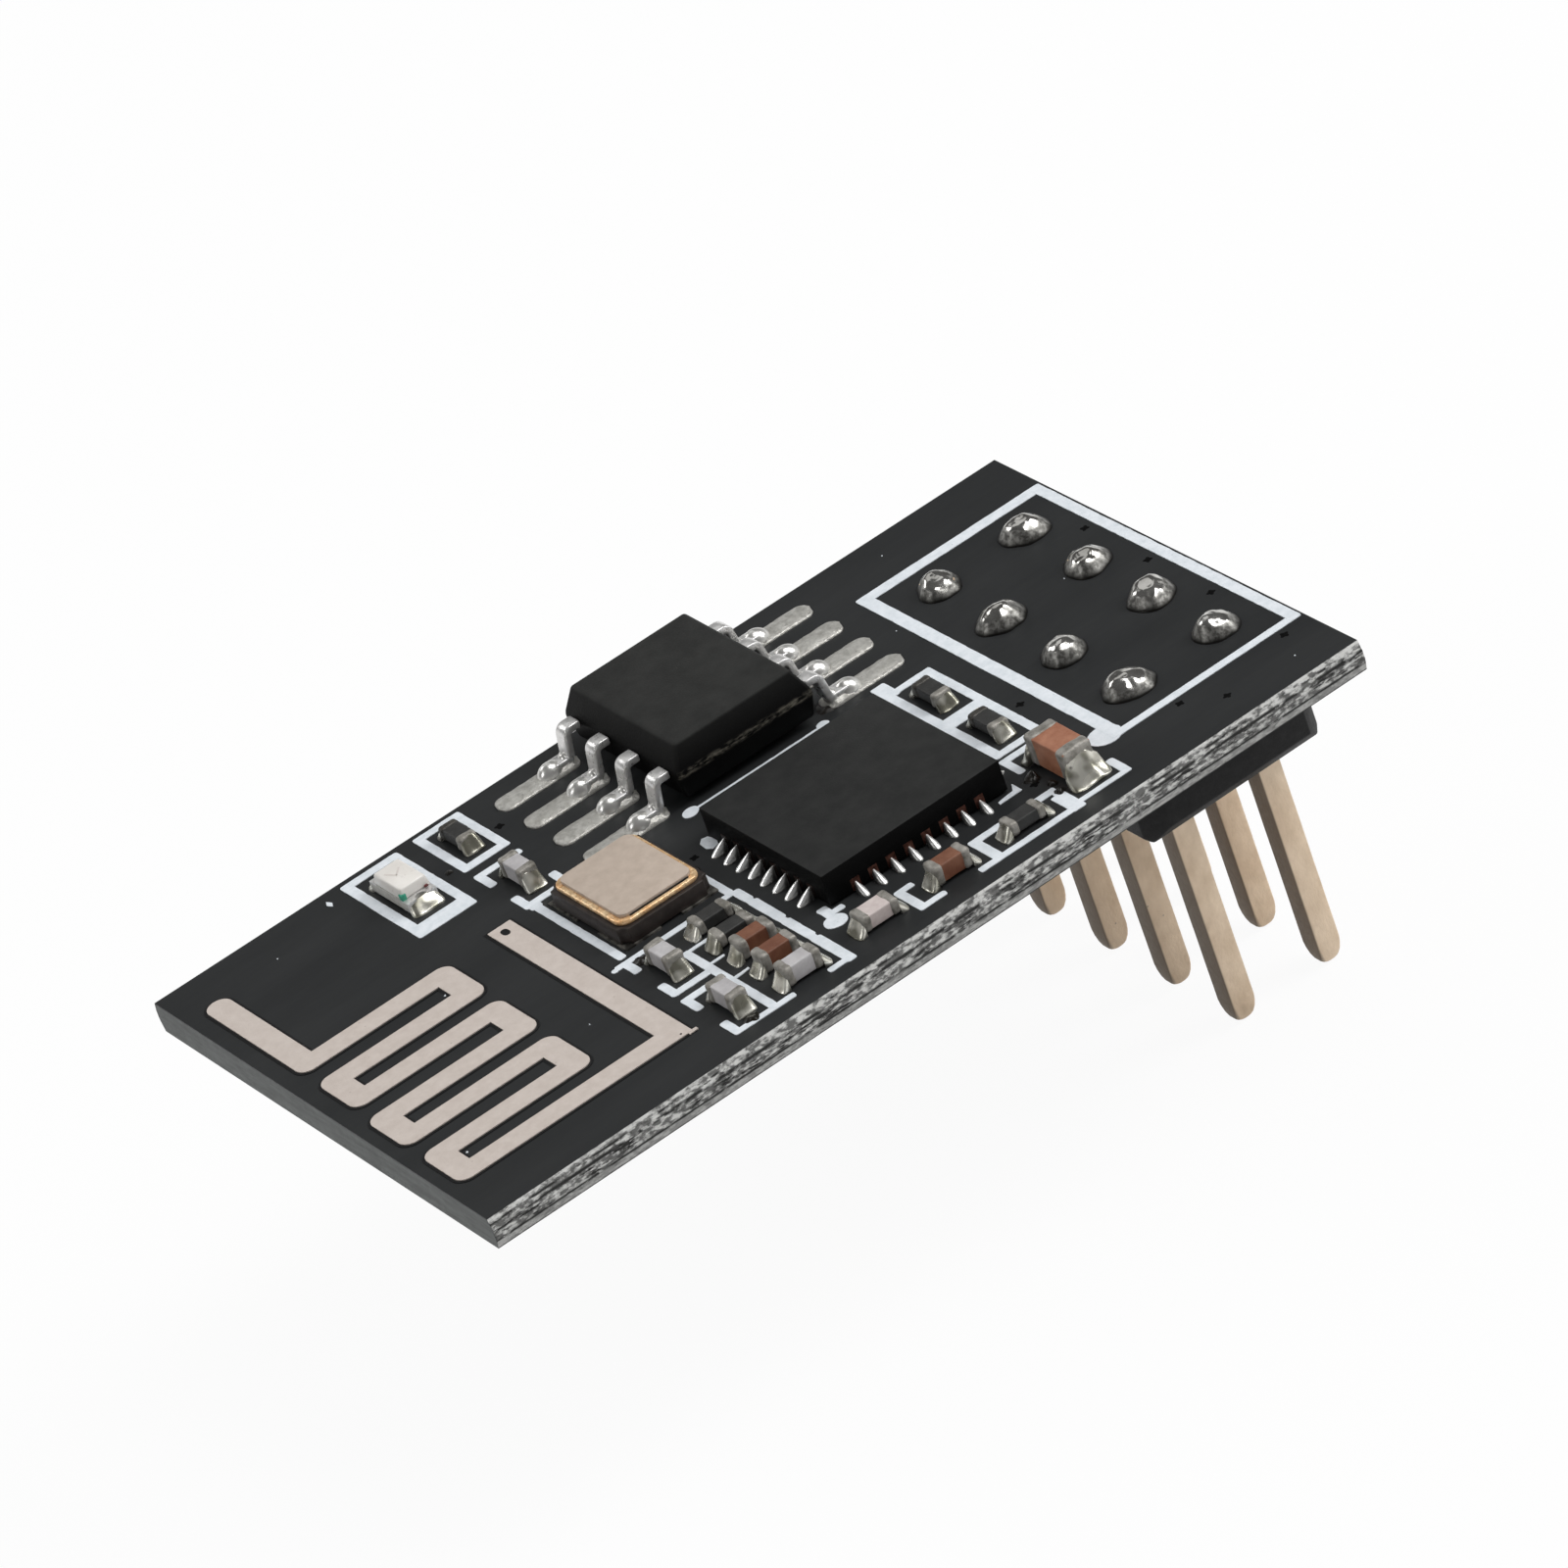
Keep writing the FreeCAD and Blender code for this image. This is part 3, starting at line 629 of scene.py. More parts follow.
MASK = MaskFinish("board_mask", "board_mask", (0.0215, 0.0228, 0.0236), (0.0290, 0.0303, 0.0310), grain=0.35,
                  stretch=(0.35, 1.6, 1.0), roughness=0.36, rougher=0.08, specular=0.16, relief=0.9,
                  relief_grain=3.0, speck=(0.10, 0.10, 0.10), speck_scale=0.9, speck_size=0.022,
                  speck_share=0.10)
FIBRE = FibreFinish("torn_fibre", "board_mask", (0.15, 0.15, 0.145), (0.68, 0.68, 0.66), grain=9.0,
                    stretch=(0.45, 1.0, 1.0), low=0.45, high=0.57, roughness=0.66, rougher=0.2, specular=0.4,
                    relief=26.0, relief_grain=8.0)
AERIAL = Finish("aerial_finish", "aerial_finish", (0.575, 0.505, 0.455), (0.655, 0.585, 0.535), grain=4.0,
                low=0.3, high=0.7, roughness=0.55, rougher=0.2, metallic=0.15, specular=0.35,
                relief_grain=22.0, speck=(0.42, 0.36, 0.32), speck_scale=5.0, speck_size=0.16,
                speck_share=0.1)
# painted shade: near black, for the step round the aerial, the hole in its feed and the gap under the
# crystal's lid
SHADE_BLACK = Finish("shade_black", "board_mask", (0.004, 0.004, 0.004), (0.008, 0.008, 0.009), roughness=0.3,
             specular=0.3, relief=0.5)
PIT = Finish("via_pit", "board_mask", (0.0015, 0.0015, 0.0015), (0.003, 0.003, 0.003), roughness=0.7,
             specular=0.08, relief=0.5)
# dark glossy heaps at the feet of parts: partly hardened flux and partly painted shade
FLUX_AND_SHADE = Finish("flux_and_shade", "board_mask", (0.006, 0.005, 0.004), (0.014, 0.011, 0.008), grain=3.0,
              roughness=0.22, rougher=0.2, specular=0.4, relief=4.0, relief_grain=5.0)
INK = Finish("legend_ink", "legend_ink", (0.66, 0.71, 0.75), (0.78, 0.82, 0.86), grain=5.0, low=0.3, high=0.6,
             roughness=0.6, specular=0.3, relief=2.5, relief_grain=16.0, speck=(0.45, 0.49, 0.53),
             speck_scale=7.0, speck_size=0.18, speck_share=0.12)
PLASTIC = Finish("header_plastic", "header_plastic", (0.010, 0.010, 0.0103), (0.016, 0.016, 0.0163),
                 grain=4.0, rougher=0.15, specular=0.15, relief=3.0, relief_grain=20.0,
                 speck=(0.05, 0.05, 0.05), speck_scale=2.2, speck_size=0.06, speck_share=0.1)
# the pins get painted shade on the faces that point towards -X
PIN = ShadedSideFinish("pin_plating", "pin_plating", (0.700, 0.541, 0.386), (0.880, 0.717, 0.543), grain=1.6,
                  stretch=(1.0, 1.0, 0.6), rougher=0.2, metallic=0.15, specular=0.3, relief=5.0,
                  relief_grain=14.0, speck=(0.22, 0.18, 0.15), speck_scale=3.2, speck_size=0.10,
                  speck_share=0.12)
SOLDER = Finish("solder", "solder", (0.32, 0.31, 0.25), (0.90, 0.88, 0.79), grain=2.2, grain_detail=1.5,
                low=0.42, high=0.58, roughness=0.22, rougher=0.08, metallic=0.72, relief_grain=2.0,
                relief_detail=0.2, speck=(0.06, 0.055, 0.045), speck_size=0.16, speck_share=0.08)
WETTED = Finish("wetted_solder", "solder", (0.70, 0.69, 0.66), (0.92, 0.91, 0.88), grain=2.0, roughness=0.28,
                rougher=0.06, metallic=0.75, relief=0.3, relief_grain=3.0, relief_detail=0.3)
DOME = DomeFinish("dome_solder", "solder", (0.46, 0.45, 0.42), (0.64, 0.63, 0.60), grain=2.0,
                  grain_detail=1.5, low=0.40, high=0.60, roughness=0.11, rougher=0.07, metallic=0.9,
                  relief_grain=3.0, relief_detail=1.0)
# painted shade: near-black plating for the far caps of some resistors
SHADED_FAR_END = Finish("shaded_far_end", "end_plating", (0.035, 0.033, 0.030), (0.075, 0.07, 0.06), grain=5.0,
                   roughness=0.3, rougher=0.2, metallic=0.3, specular=0.4, relief=6.0, relief_grain=9.0)
# the beads get painted shade on the faces that point towards -X
BEAD = ShadedSideFinish("bead_solder", "solder", (0.72, 0.72, 0.70), (0.97, 0.97, 0.96), grain=5.0, roughness=0.20,
                   rougher=0.1, metallic=0.6, relief=3.0, relief_grain=6.0, relief_detail=0.5,
                   painted_shade=(0.03, 0.03, 0.028), stain=(0.70, 0.70, 0.68))
# the left beads get painted shade on the faces that point towards -X turned -Y: the faces that point towards
# -Y
LEFT_BEAD = ShadedSideFinish("left_bead_solder", "solder", (0.88, 0.88, 0.87), (0.98, 0.98, 0.97), grain=3.0,
                        roughness=0.20, rougher=0.1, metallic=0.7, relief=1.5, relief_grain=5.0,
                        relief_detail=0.5, painted_shade=(0.012, 0.012, 0.011), stain=(0.75, 0.75, 0.73), axis=Axis.Y,
                        begin=-0.72, full=-0.95)
# solder darkened with painted shade, for the crystal's joints
SHADED_SOLDER = Finish("crystal_solder_shaded", "solder", (0.05, 0.048, 0.043), (0.42, 0.40, 0.36), grain=2.5,
                     low=0.45, high=0.68, roughness=0.3, rougher=0.15, metallic=0.6, relief=4.0,
                     relief_grain=5.0)
TINNED = Finish("tinned_pad", "solder", (0.43, 0.42, 0.385), (0.66, 0.65, 0.61), roughness=0.36, rougher=0.18,
                metallic=0.6, relief=10.0, relief_grain=9.0, speck=(0.16, 0.155, 0.14), speck_scale=9.0,
                speck_size=0.2, speck_share=0.2)
LEAD = Finish("lead_plating", "lead_plating", (0.66, 0.655, 0.64), (0.88, 0.87, 0.86), grain=4.0,
              roughness=0.25, metallic=0.6, relief=4.0, relief_grain=6.0, relief_detail=1.0)
# the lands get painted shade on the faces that point towards -X
COPPER = ShadedSideFinish("land_copper", "lead_plating", (0.05, 0.018, 0.013), (0.20, 0.085, 0.06), grain=9.0,
                     roughness=0.35, rougher=0.2, metallic=0.7, painted_shade=(0.010, 0.009, 0.008),
                     stain=(0.16, 0.07, 0.05))
# the radio chip's moulding gets painted shade on its flanks
RADIO = MouldedFinish("radio_moulding", "chip_moulding", (0.025, 0.0256, 0.0252), (0.032, 0.0325, 0.0318),
                      grain=2.0, rougher=0.1, specular=0.06, relief=1.6, relief_grain=26.0,
                      speck=(0.075, 0.073, 0.07), speck_scale=6.0, speck_size=0.10, speck_share=0.05)
# the memory chip's moulding gets painted shade on its flanks
MEMORY = MouldedFinish("memory_moulding", "chip_moulding", (0.027, 0.0275, 0.0265), (0.036, 0.0365, 0.035),
                       grain=1.6, specular=0.06, relief=2.6, relief_grain=22.0, speck=(0.07, 0.065, 0.055),
                       speck_scale=5.0, speck_size=0.10, speck_share=0.06,
                       line=Band(BOARD_TOP + 0.87, 0.035, 0.08))
TUB = Finish("tub_ceramic", "tub_ceramic", (0.020, 0.014, 0.012), (0.034, 0.025, 0.021), grain=5.0,
             roughness=0.45, specular=0.4, relief=3.0)
# the near-white specks are painted glints
GILT = Finish("gilt_ring", "gilt_ring", (0.86, 0.48, 0.21), (1.0, 0.77, 0.48), grain=4.0, roughness=0.2,
              metallic=0.45, relief=16.0, relief_grain=6.0, relief_detail=1.0, speck=(1.0, 0.93, 0.78),
              speck_scale=9.0, speck_size=0.2, speck_share=0.25)
LID = Finish("crystal_lid_metal", "crystal_lid_metal", (0.52, 0.43, 0.355), (0.60, 0.505, 0.425), grain=3.0,
             metallic=0.2, specular=0.3, relief_grain=24.0, speck=(0.60, 0.56, 0.52), speck_scale=4.0,
             speck_size=0.09, speck_share=0.1)
CARRIER = Finish("light_carrier", "light_carrier", (0.42, 0.41, 0.38), (0.56, 0.55, 0.51), grain=7.0,
                 relief=3.0)
LENS = Finish("light_lens", "light_lens", (0.79, 0.755, 0.705), (0.90, 0.875, 0.83), grain=1.6, low=0.3,
              high=0.7, roughness=0.25, rougher=0.1, coat=0.4, relief=1.5, relief_grain=5.0)
LENS_GREEN = Finish("light_green", "light_lens", (0.03, 0.29, 0.18), (0.05, 0.38, 0.25), grain=7.0,
                    roughness=0.35, relief=1.0)
LENS_MARK = Finish("light_mark", "light_lens", (0.62, 0.57, 0.53), (0.72, 0.67, 0.63), grain=7.0,
                   roughness=0.4, relief=1.0)
DARK_RED = Finish("light_red", "light_lens", (0.10, 0.012, 0.012), (0.16, 0.03, 0.03), grain=9.0,
                  roughness=0.3, relief=1.0)
GLAZE = Finish("resistor_glaze", "resistor_glaze", (0.026, 0.026, 0.025), (0.040, 0.040, 0.038), grain=4.0,
               roughness=0.4, rougher=0.15, specular=0.4, relief=3.0, speck=(0.09, 0.09, 0.09),
               speck_scale=6.0, speck_share=0.1)
GREY = Finish("grey_ceramic", "grey_ceramic", (0.41, 0.395, 0.40), (0.55, 0.535, 0.54), grain=2.5,
              roughness=0.45, rougher=0.15, relief=3.0, speck=(0.18, 0.17, 0.18), speck_scale=6.0,
              speck_share=0.1)
BROWN = Finish("brown_ceramic", "brown_ceramic", (0.155, 0.055, 0.028), (0.225, 0.095, 0.052), grain=3.0,
               roughness=0.42, rougher=0.15, relief=3.0, speck=(0.10, 0.04, 0.02), speck_scale=6.0,
               speck_share=0.1)
RUST = Finish("rust_ceramic", "brown_ceramic", (0.28, 0.10, 0.05), (0.43, 0.20, 0.12), grain=2.0,
              roughness=0.45, rougher=0.15, relief=3.0, speck=(0.16, 0.07, 0.04), speck_scale=5.0,
              speck_share=0.1)
PALE = Finish("pale_ceramic", "pale_ceramic", (0.52, 0.44, 0.42), (0.66, 0.585, 0.56), grain=3.0, relief=3.0)
ENDS = Finish("end_plating", "end_plating", (0.20, 0.19, 0.165), (0.44, 0.42, 0.385), grain=4.0,
              roughness=0.42, rougher=0.2, metallic=0.45, specular=0.4, relief=8.0, relief_grain=9.0,
              speck=(0.12, 0.11, 0.09), speck_scale=7.0, speck_size=0.16, speck_share=0.18)


# Making meshes


def clean_copy(node: str) -> bmesh.types.BMesh:
    """A CAD node's mesh in millimetres, with each flat face in one piece.

    Args:
        node: the node's name.

    Returns:
        The new mesh.
    """
    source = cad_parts[node]
    copy = bmesh.new()
    copy.from_mesh(source.data)
    bmesh.ops.transform(copy, matrix=Matrix.Scale(1 / MM, 4) @ source.matrix_world, verts=copy.verts)
    bmesh.ops.remove_doubles(copy, verts=copy.verts, dist=MERGE)
    bmesh.ops.dissolve_limit(copy, angle_limit=math.radians(1.0), verts=copy.verts, edges=copy.edges)
    return copy


@dataclass
class Shape:
    """A mesh in millimetres that grows by blocks, mounds and patches."""

    mesh: bmesh.types.BMesh = field(default_factory=bmesh.new)

    def block(self, low: Sequence[float], high: Sequence[float], radius: float, steps: int = 2) -> None:
        """Adds a box with rounded edges.

        Args:
            low: its lowest corner.
            high: its highest corner.
            radius: how far its edges are rounded.
            steps: faces across each rounded edge.
        """
        size = [b - a for a, b in zip(low, high)]
        middle = [(a + b) / 2 for a, b in zip(low, high)]
        made = bmesh.ops.create_cube(self.mesh, size=1.0,
                                     matrix=Matrix.Translation(middle) @ Matrix.Diagonal((*size, 1.0)))
        edges = list({edge for point in made["verts"] for edge in point.link_edges})
        bmesh.ops.bevel(self.mesh, geom=edges, offset=min(radius, 0.45 * min(size)), segments=steps,
                        profile=0.5, affect="EDGES")

    def pillow(self, low: Vector, high: Vector, radius: float, unevenness: float, seed: float) -> None:
        """Adds a box with round edges and a slightly uneven skin.

        Args:
            low: its lowest corner.
            high: its highest corner.
            radius: how far its edges are rounded.
            unevenness: how far the skin swells and sinks.
            seed: makes each skin different.
        """
        flats = 6
        middle = (low + high) / 2
        half = (high - low) / 2
        radius = min(radius, 0.9 * min(half))
        core = half - Vector((radius, radius, radius))
        bends = [radius * math.tan(math.radians(15 * step)) for step in range(1, 4)]
        stops = []
        for reach in core:
            flat = [reach * (2 * step / flats - 1) for step in range(flats + 1)]
            stops.append([-reach - bend for bend in bends[::-1]] + flat + [reach + bend for bend in bends])
        known: dict[tuple[int, ...], bmesh.types.BMVert] = {}

        def corner(point: Vector) -> bmesh.types.BMVert:
            """The skin's point for a point of the sharp box.

            Args:
                point: a point of the sharp box.

            Returns:
                The skin's point, made once.
            """
            key = tuple(round(value * 1e5) for value in point)
            if key not in known:
                inner = Vector([max(-limit, min(limit, value)) for value, limit in zip(point, core)])
                way = (point - inner).normalized()
                place = middle + inner + way * radius
                swell = unevenness * wobble(place.x, place.y, place.z + seed, 4.0)
                known[key] = self.mesh.verts.new(place + way * swell)
            return known[key]

        for axis in range(3):
            first, second = (axis + 1) % 3, (axis + 2) % 3
            for side in (-1, 1):
                for u0, u1 in zip(stops[first], stops[first][1:]):
                    for v0, v1 in zip(stops[second], stops[second][1:]):
                        points = []
                        for u, v in ((u0, v0), (u1, v0), (u1, v1), (u0, v1)):
                            point = Vector((0.0, 0.0, 0.0))
                            point[axis], point[first], point[second] = side * half[axis], u, v
                            points.append(corner(point))
                        self.mesh.faces.new(points if side > 0 else points[::-1])

    def slab(self, outline: Sequence[Spot], low_z: float, high_z: float) -> None:
        """Adds an upright slab over a flat outline.

        Args:
            outline: its corners in order, seen from above.
            low_z: its underside.
            high_z: its top.
        """
        under, top = ([self.mesh.verts.new((x, y, z)) for x, y in outline] for z in (low_z, high_z))
        self.mesh.faces.new(top)
        self.mesh.faces.new(under[::-1])
        self.bridge(under, top)

    def bridge(self, lower: Sequence[bmesh.types.BMVert], upper: Sequence[bmesh.types.BMVert]) -> None:
        """Joins two rings of points by a wall.

        Args:
            lower: the first ring.
            upper: the second ring.
        """
        for index, point in enumerate(lower):
            after = (index + 1) % len(lower)
            self.mesh.faces.new((point, lower[after], upper[after], upper[index]))

    def mound(self, middle: Spot, rings: int, spokes: int, place: Place, floor_z: float) -> None:
        """Adds a round heap that stands on a floor.

        Args:
            middle: its middle on the board.
            rings: rings of points between the middle and the rim.
            spokes: points round each ring.
            place: gives the offset and height for a ring share and an angle.
            floor_z: the level that it stands on.
        """
        new = self.mesh.verts.new
        x0, y0 = middle
        crown = place(0.0, 0.0)
        peak = new((x0 + crown[0], y0 + crown[1], crown[2]))
        loops = []
        for ring in range(1, rings + 1):
            points = [place(ring / rings, 2 * math.pi * spoke / spokes) for spoke in range(spokes)]
            loops.append([new((x0 + dx, y0 + dy, z)) for dx, dy, z in points])
        loops.append([new((point.co.x, point.co.y, floor_z)) for point in loops[-1]])
        for spoke in range(spokes):
            after = (spoke + 1) % spokes
            self.mesh.faces.new((peak, loops[0][spoke], loops[0][after]))
            for inner, outer in zip(loops, loops[1:]):
                self.mesh.faces.new((inner[spoke], outer[spoke], outer[after], inner[after]))
        self.mesh.faces.new(loops[-1][::-1])

    def sheet(self, columns: int, rows: int, place: Place) -> list[list[bmesh.types.BMVert]]:
        """Adds an open skin.

        Args:
            columns: steps along the first way.
            rows: steps along the second way.
            place: gives a point for two shares between 0 and 1.

        Returns:
            The grid of its points.
        """
        grid = [[self.mesh.verts.new(place(i / columns, j / rows)) for j in range(rows + 1)]
                for i in range(columns + 1)]
        for i in range(columns):
            for j in range(rows):
                self.mesh.faces.new((grid[i][j], grid[i + 1][j], grid[i + 1][j + 1], grid[i][j + 1]))
        return grid

    def patch(self, columns: int, rows: int, place: Place) -> None:
        """Adds a four-sided heap that stands in the board.

        Args:
            columns: steps along the first way.
            rows: steps along the second way.
            place: gives a point for two shares between 0 and 1.
        """
        grid = self.sheet(columns, rows, place)
        rim = ([grid[i][0] for i in range(columns)] + [grid[columns][j] for j in range(rows)]
               + [grid[i][rows] for i in range(columns, 0, -1)] + [grid[0][j] for j in range(rows, 0, -1)])
        foot = [self.mesh.verts.new((point.co.x, point.co.y, BOARD_TOP - ROOTED)) for point in rim]
        for index, point in enumerate(rim):
            after = (index + 1) % len(rim)
            self.mesh.faces.new((point, foot[index], foot[after], rim[after]))
        self.mesh.faces.new(foot[::-1])

    def node_copy(self, node: str, radius: float, steps: int = 2) -> None:
        """Adds a copy of a CAD node with its sharp edges rounded.

        Args:
            node: the node's name.
            radius: how far the edges are rounded.
            steps: faces across each rounded edge.
        """
        copy = clean_copy(node)
        sharp = [edge for edge in copy.edges
                 if len(edge.link_faces) == 2 and edge.calc_face_angle(0.0) > math.radians(25.0)]
        bmesh.ops.bevel(copy, geom=sharp, offset=radius, segments=steps, profile=0.5, affect="EDGES",
                        clamp_overlap=True)
        holder = bpy.data.meshes.new("holder")
        copy.to_mesh(holder)
        copy.free()
        self.mesh.from_mesh(holder)
        bpy.data.meshes.remove(holder)


def finish_piece(name: str, shape: Shape, finish: Finish, replaces: Sequence[str] = (),
                 smooth_angle: float = 40.0) -> None:
    """Turns a shape into a dressed piece that rides with the module.

    Args:
        name: the piece's name.
        shape: its mesh in millimetres.
        finish: its finish.
        replaces: the CAD nodes that it stands for.
        smooth_angle: edges flatter than this many degrees are shaded smooth.
    """
    bmesh.ops.recalc_face_normals(shape.mesh, faces=shape.mesh.faces)
    bmesh.ops.scale(shape.mesh, vec=(MM, MM, MM), verts=shape.mesh.verts)
    mesh = bpy.data.meshes.new(name)
    shape.mesh.to_mesh(mesh)
    shape.mesh.free()
    piece = bpy.data.objects.new(name, mesh)
    bpy.context.scene.collection.objects.link(piece)
    mesh.materials.append(finish.material())
    mesh.shade_smooth()
    mesh.set_sharp_from_angle(angle=math.radians(smooth_angle))
    if replaces:
        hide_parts(*replaces)
    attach(piece, BODY)
    LOG.info("%s: %d faces", name, len(mesh.polygons))


def round_node(name: str, node: str, finish: Finish, radius: float, steps: int = 2) -> None:
    """Makes a piece that is a CAD node with rounded edges, and stands for it.

    Args:
        name: the piece's name.
        node: the node's name.
        finish: the piece's finish.
        radius: how far the edges are rounded.
        steps: faces across each rounded edge.
    """
    shape = Shape()
    shape.node_copy(node, radius, steps)
    finish_piece(name, shape, finish, [node])


def dress_node(node: str, finish: Finish) -> None:
    """Gives a CAD node that stays in view its finish.

    Args:
        node: the node's name.
        finish: its finish.
    """
    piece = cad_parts[node]
    material = finish.material()
    if not piece.material_slots:
        piece.data.materials.append(material)
    for place in piece.material_slots:
        place.material = material
    LOG.info("%s: dressed", node)


# The board


@dataclass
class Board:
    """The bare board: its mask, its torn long edges, the vias and the aerial."""

    edge_columns: int = 760
    edge_rows: int = 16
    flare: float = 0.06
    score: float = 0.25
    thread_depth: float = 0.010
    fine_depth: float = 0.008
    chip_depth: float = 0.045
    via_radius: float = 0.10
    via_crown: float = 0.005
    vias: tuple[Spot, ...] = (
        (-3.09, -2.0), (2.13, -2.46), (2.155, 0.07), (2.155, 2.6), (-1.03, -5.47), (1.986, -5.49),
        (-0.24, -6.24), (-4.83, -4.97), (-12.87, 5.51), (-10.98, 0.04))
    # the near-black band of painted shade round the aerial
    lip_width: float = 0.07
    lip_height: float = 0.014
    spur: Sides = (-15.0, -14.76, -5.70, -5.575)
    spur_slant: float = 0.02
    feed_hole: Spot = (-15.215, 1.655)
    feed_hole_radius: float = 0.125

    def build(self) -> None:
        """Builds and dresses the board's pieces."""
        dress_node("circuit_board", MASK)
        dress_node("aerial_strip", AERIAL)
        self.torn_edge("front_torn_edge", -1)
        self.torn_edge("back_torn_edge", 1)
        self.via_dots()
        self.aerial_lip()
        self.aerial_details()

    def torn_edge(self, name: str, side: int) -> None:
        """Builds the rough skin of one long edge.

        Args:
            name: the piece's name.
            side: -1 for the edge towards the viewer, 1 for the far one.
        """
        thickness = BOARD_HIGH.z - BOARD_LOW.z
        middle_y = (BOARD_HIGH.y + BOARD_LOW.y) / 2
        half = (BOARD_HIGH.y - BOARD_LOW.y) / 2 - self.flare
        length = BOARD_HIGH.x - BOARD_LOW.x
        bevel = self.score / thickness

        def place(u: float, v: float) -> Point:
            """A point of the edge.

            Args:
                u: share of the way along it.
                v: share of the way from its lower to its upper rim.

            Returns:
                The point.
            """
            x = BOARD_LOW.x + length * u
            z = BOARD_LOW.z + thickness * v
            flare = self.flare * min(1.0, v / bevel, (1 - v) / bevel)
            inside = min(1.0, 6 * v, 6 * (1 - v))
            in_web = max(0.0, 1 - abs(v - 0.5) / (0.5 - bevel + 0.06))
            threads = 0.5 + 0.5 * wobble(x, side * 3.0, z * 2.6, 3.4)
            chips = 0.5 + 0.5 * wobble(x * 1.3, side * 7.0, z * 1.8, 1.3)
            fine = 0.5 + 0.5 * wobble(x * 3.0, side * 11.0, z * 5.0, 3.0)
            rough = (0.003 + inside * (self.thread_depth * threads + self.fine_depth * fine)
                     + in_web * self.chip_depth * chips * threads)
            return x, middle_y + side * (half + flare + rough), z

        shape = Shape()
        shape.sheet(self.edge_columns, self.edge_rows, place)
        finish_piece(name, shape, FIBRE, smooth_angle=ALL_SMOOTH)

    def via_dots(self) -> None:
        """Builds the small filled holes as dark ragged blots."""
        shape = Shape()
        for index, (x, y) in enumerate(self.vias):
            radius = self.via_radius * (1 + 0.15 * wobble(x, y, index, 1.0))

            def place(share: float, angle: float) -> Point:
                """The offset and height of a point of one via's blot."""
                reach = radius * share * (1 + 0.22 * math.cos(4 * angle + index))
                return *polar(reach, angle), BOARD_TOP + SUNK + self.via_crown * (1 - share ** 2)

            shape.mound((x, y), 6, 32, place, BOARD_TOP)
        finish_piece("filled_vias", shape, PIT)

    def aerial_lip(self) -> None:
        """Builds a near-black band round the aerial's copper where the mask ends: painted shade in the step.
        """
        foot = node_box("aerial_strip")[0].z
        copper = clean_copy("aerial_strip")
        top = max((face for face in copper.faces if face.normal.z > 0.9), key=lambda face: face.calc_area())
        corners = [Vector((point.co.x, point.co.y)) for point in top.verts]
        copper.free()
        widened = []
        for index, corner in enumerate(corners):
            before = (corner - corners[index - 1]).normalized()
            after = (corners[(index + 1) % len(corners)] - corner).normalized()
            out = Vector((before.y + after.y, -before.x - after.x))
            if out.length < 1e-6:
                out = Vector((before.y, -before.x))
            out.normalize()
            stretch = 1 / max(0.5, out.dot(Vector((before.y, -before.x))))
            widened.append(tuple(corner + out * self.lip_width * stretch))
        shape = Shape()
        shape.slab(widened, foot - 0.001, foot + self.lip_height)
        finish_piece("aerial_lip_shade", shape, SHADE_BLACK)

    def aerial_details(self) -> None:
        """Builds the copper spur at the feed's corner and, in the feed's end, a near-black blot: painted
        shade in the hole.
        """
        top = node_box("aerial_strip")[1].z
        left, right, front, back = self.spur
        spur = Shape()
        spur.slab([(left, front), (right, front + self.spur_slant), (right, back - self.spur_slant),
                   (left, back)], BOARD_TOP, top - 0.003)
        finish_piece("aerial_spur", spur, AERIAL)
        hole = Shape()

        def place(share: float, angle: float) -> Point:
            """The offset and height of a point of the filled hole's low blot."""
            reach = self.feed_hole_radius * share * (1 - 0.22 * math.cos(2 * angle))
            return *polar(reach, angle), top + 0.004 * (1 - share ** 2) + 0.0005

        hole.mound(self.feed_hole, 4, 20, place, top - SUNK)
        finish_piece("feed_hole", hole, SHADE_BLACK)


# The print


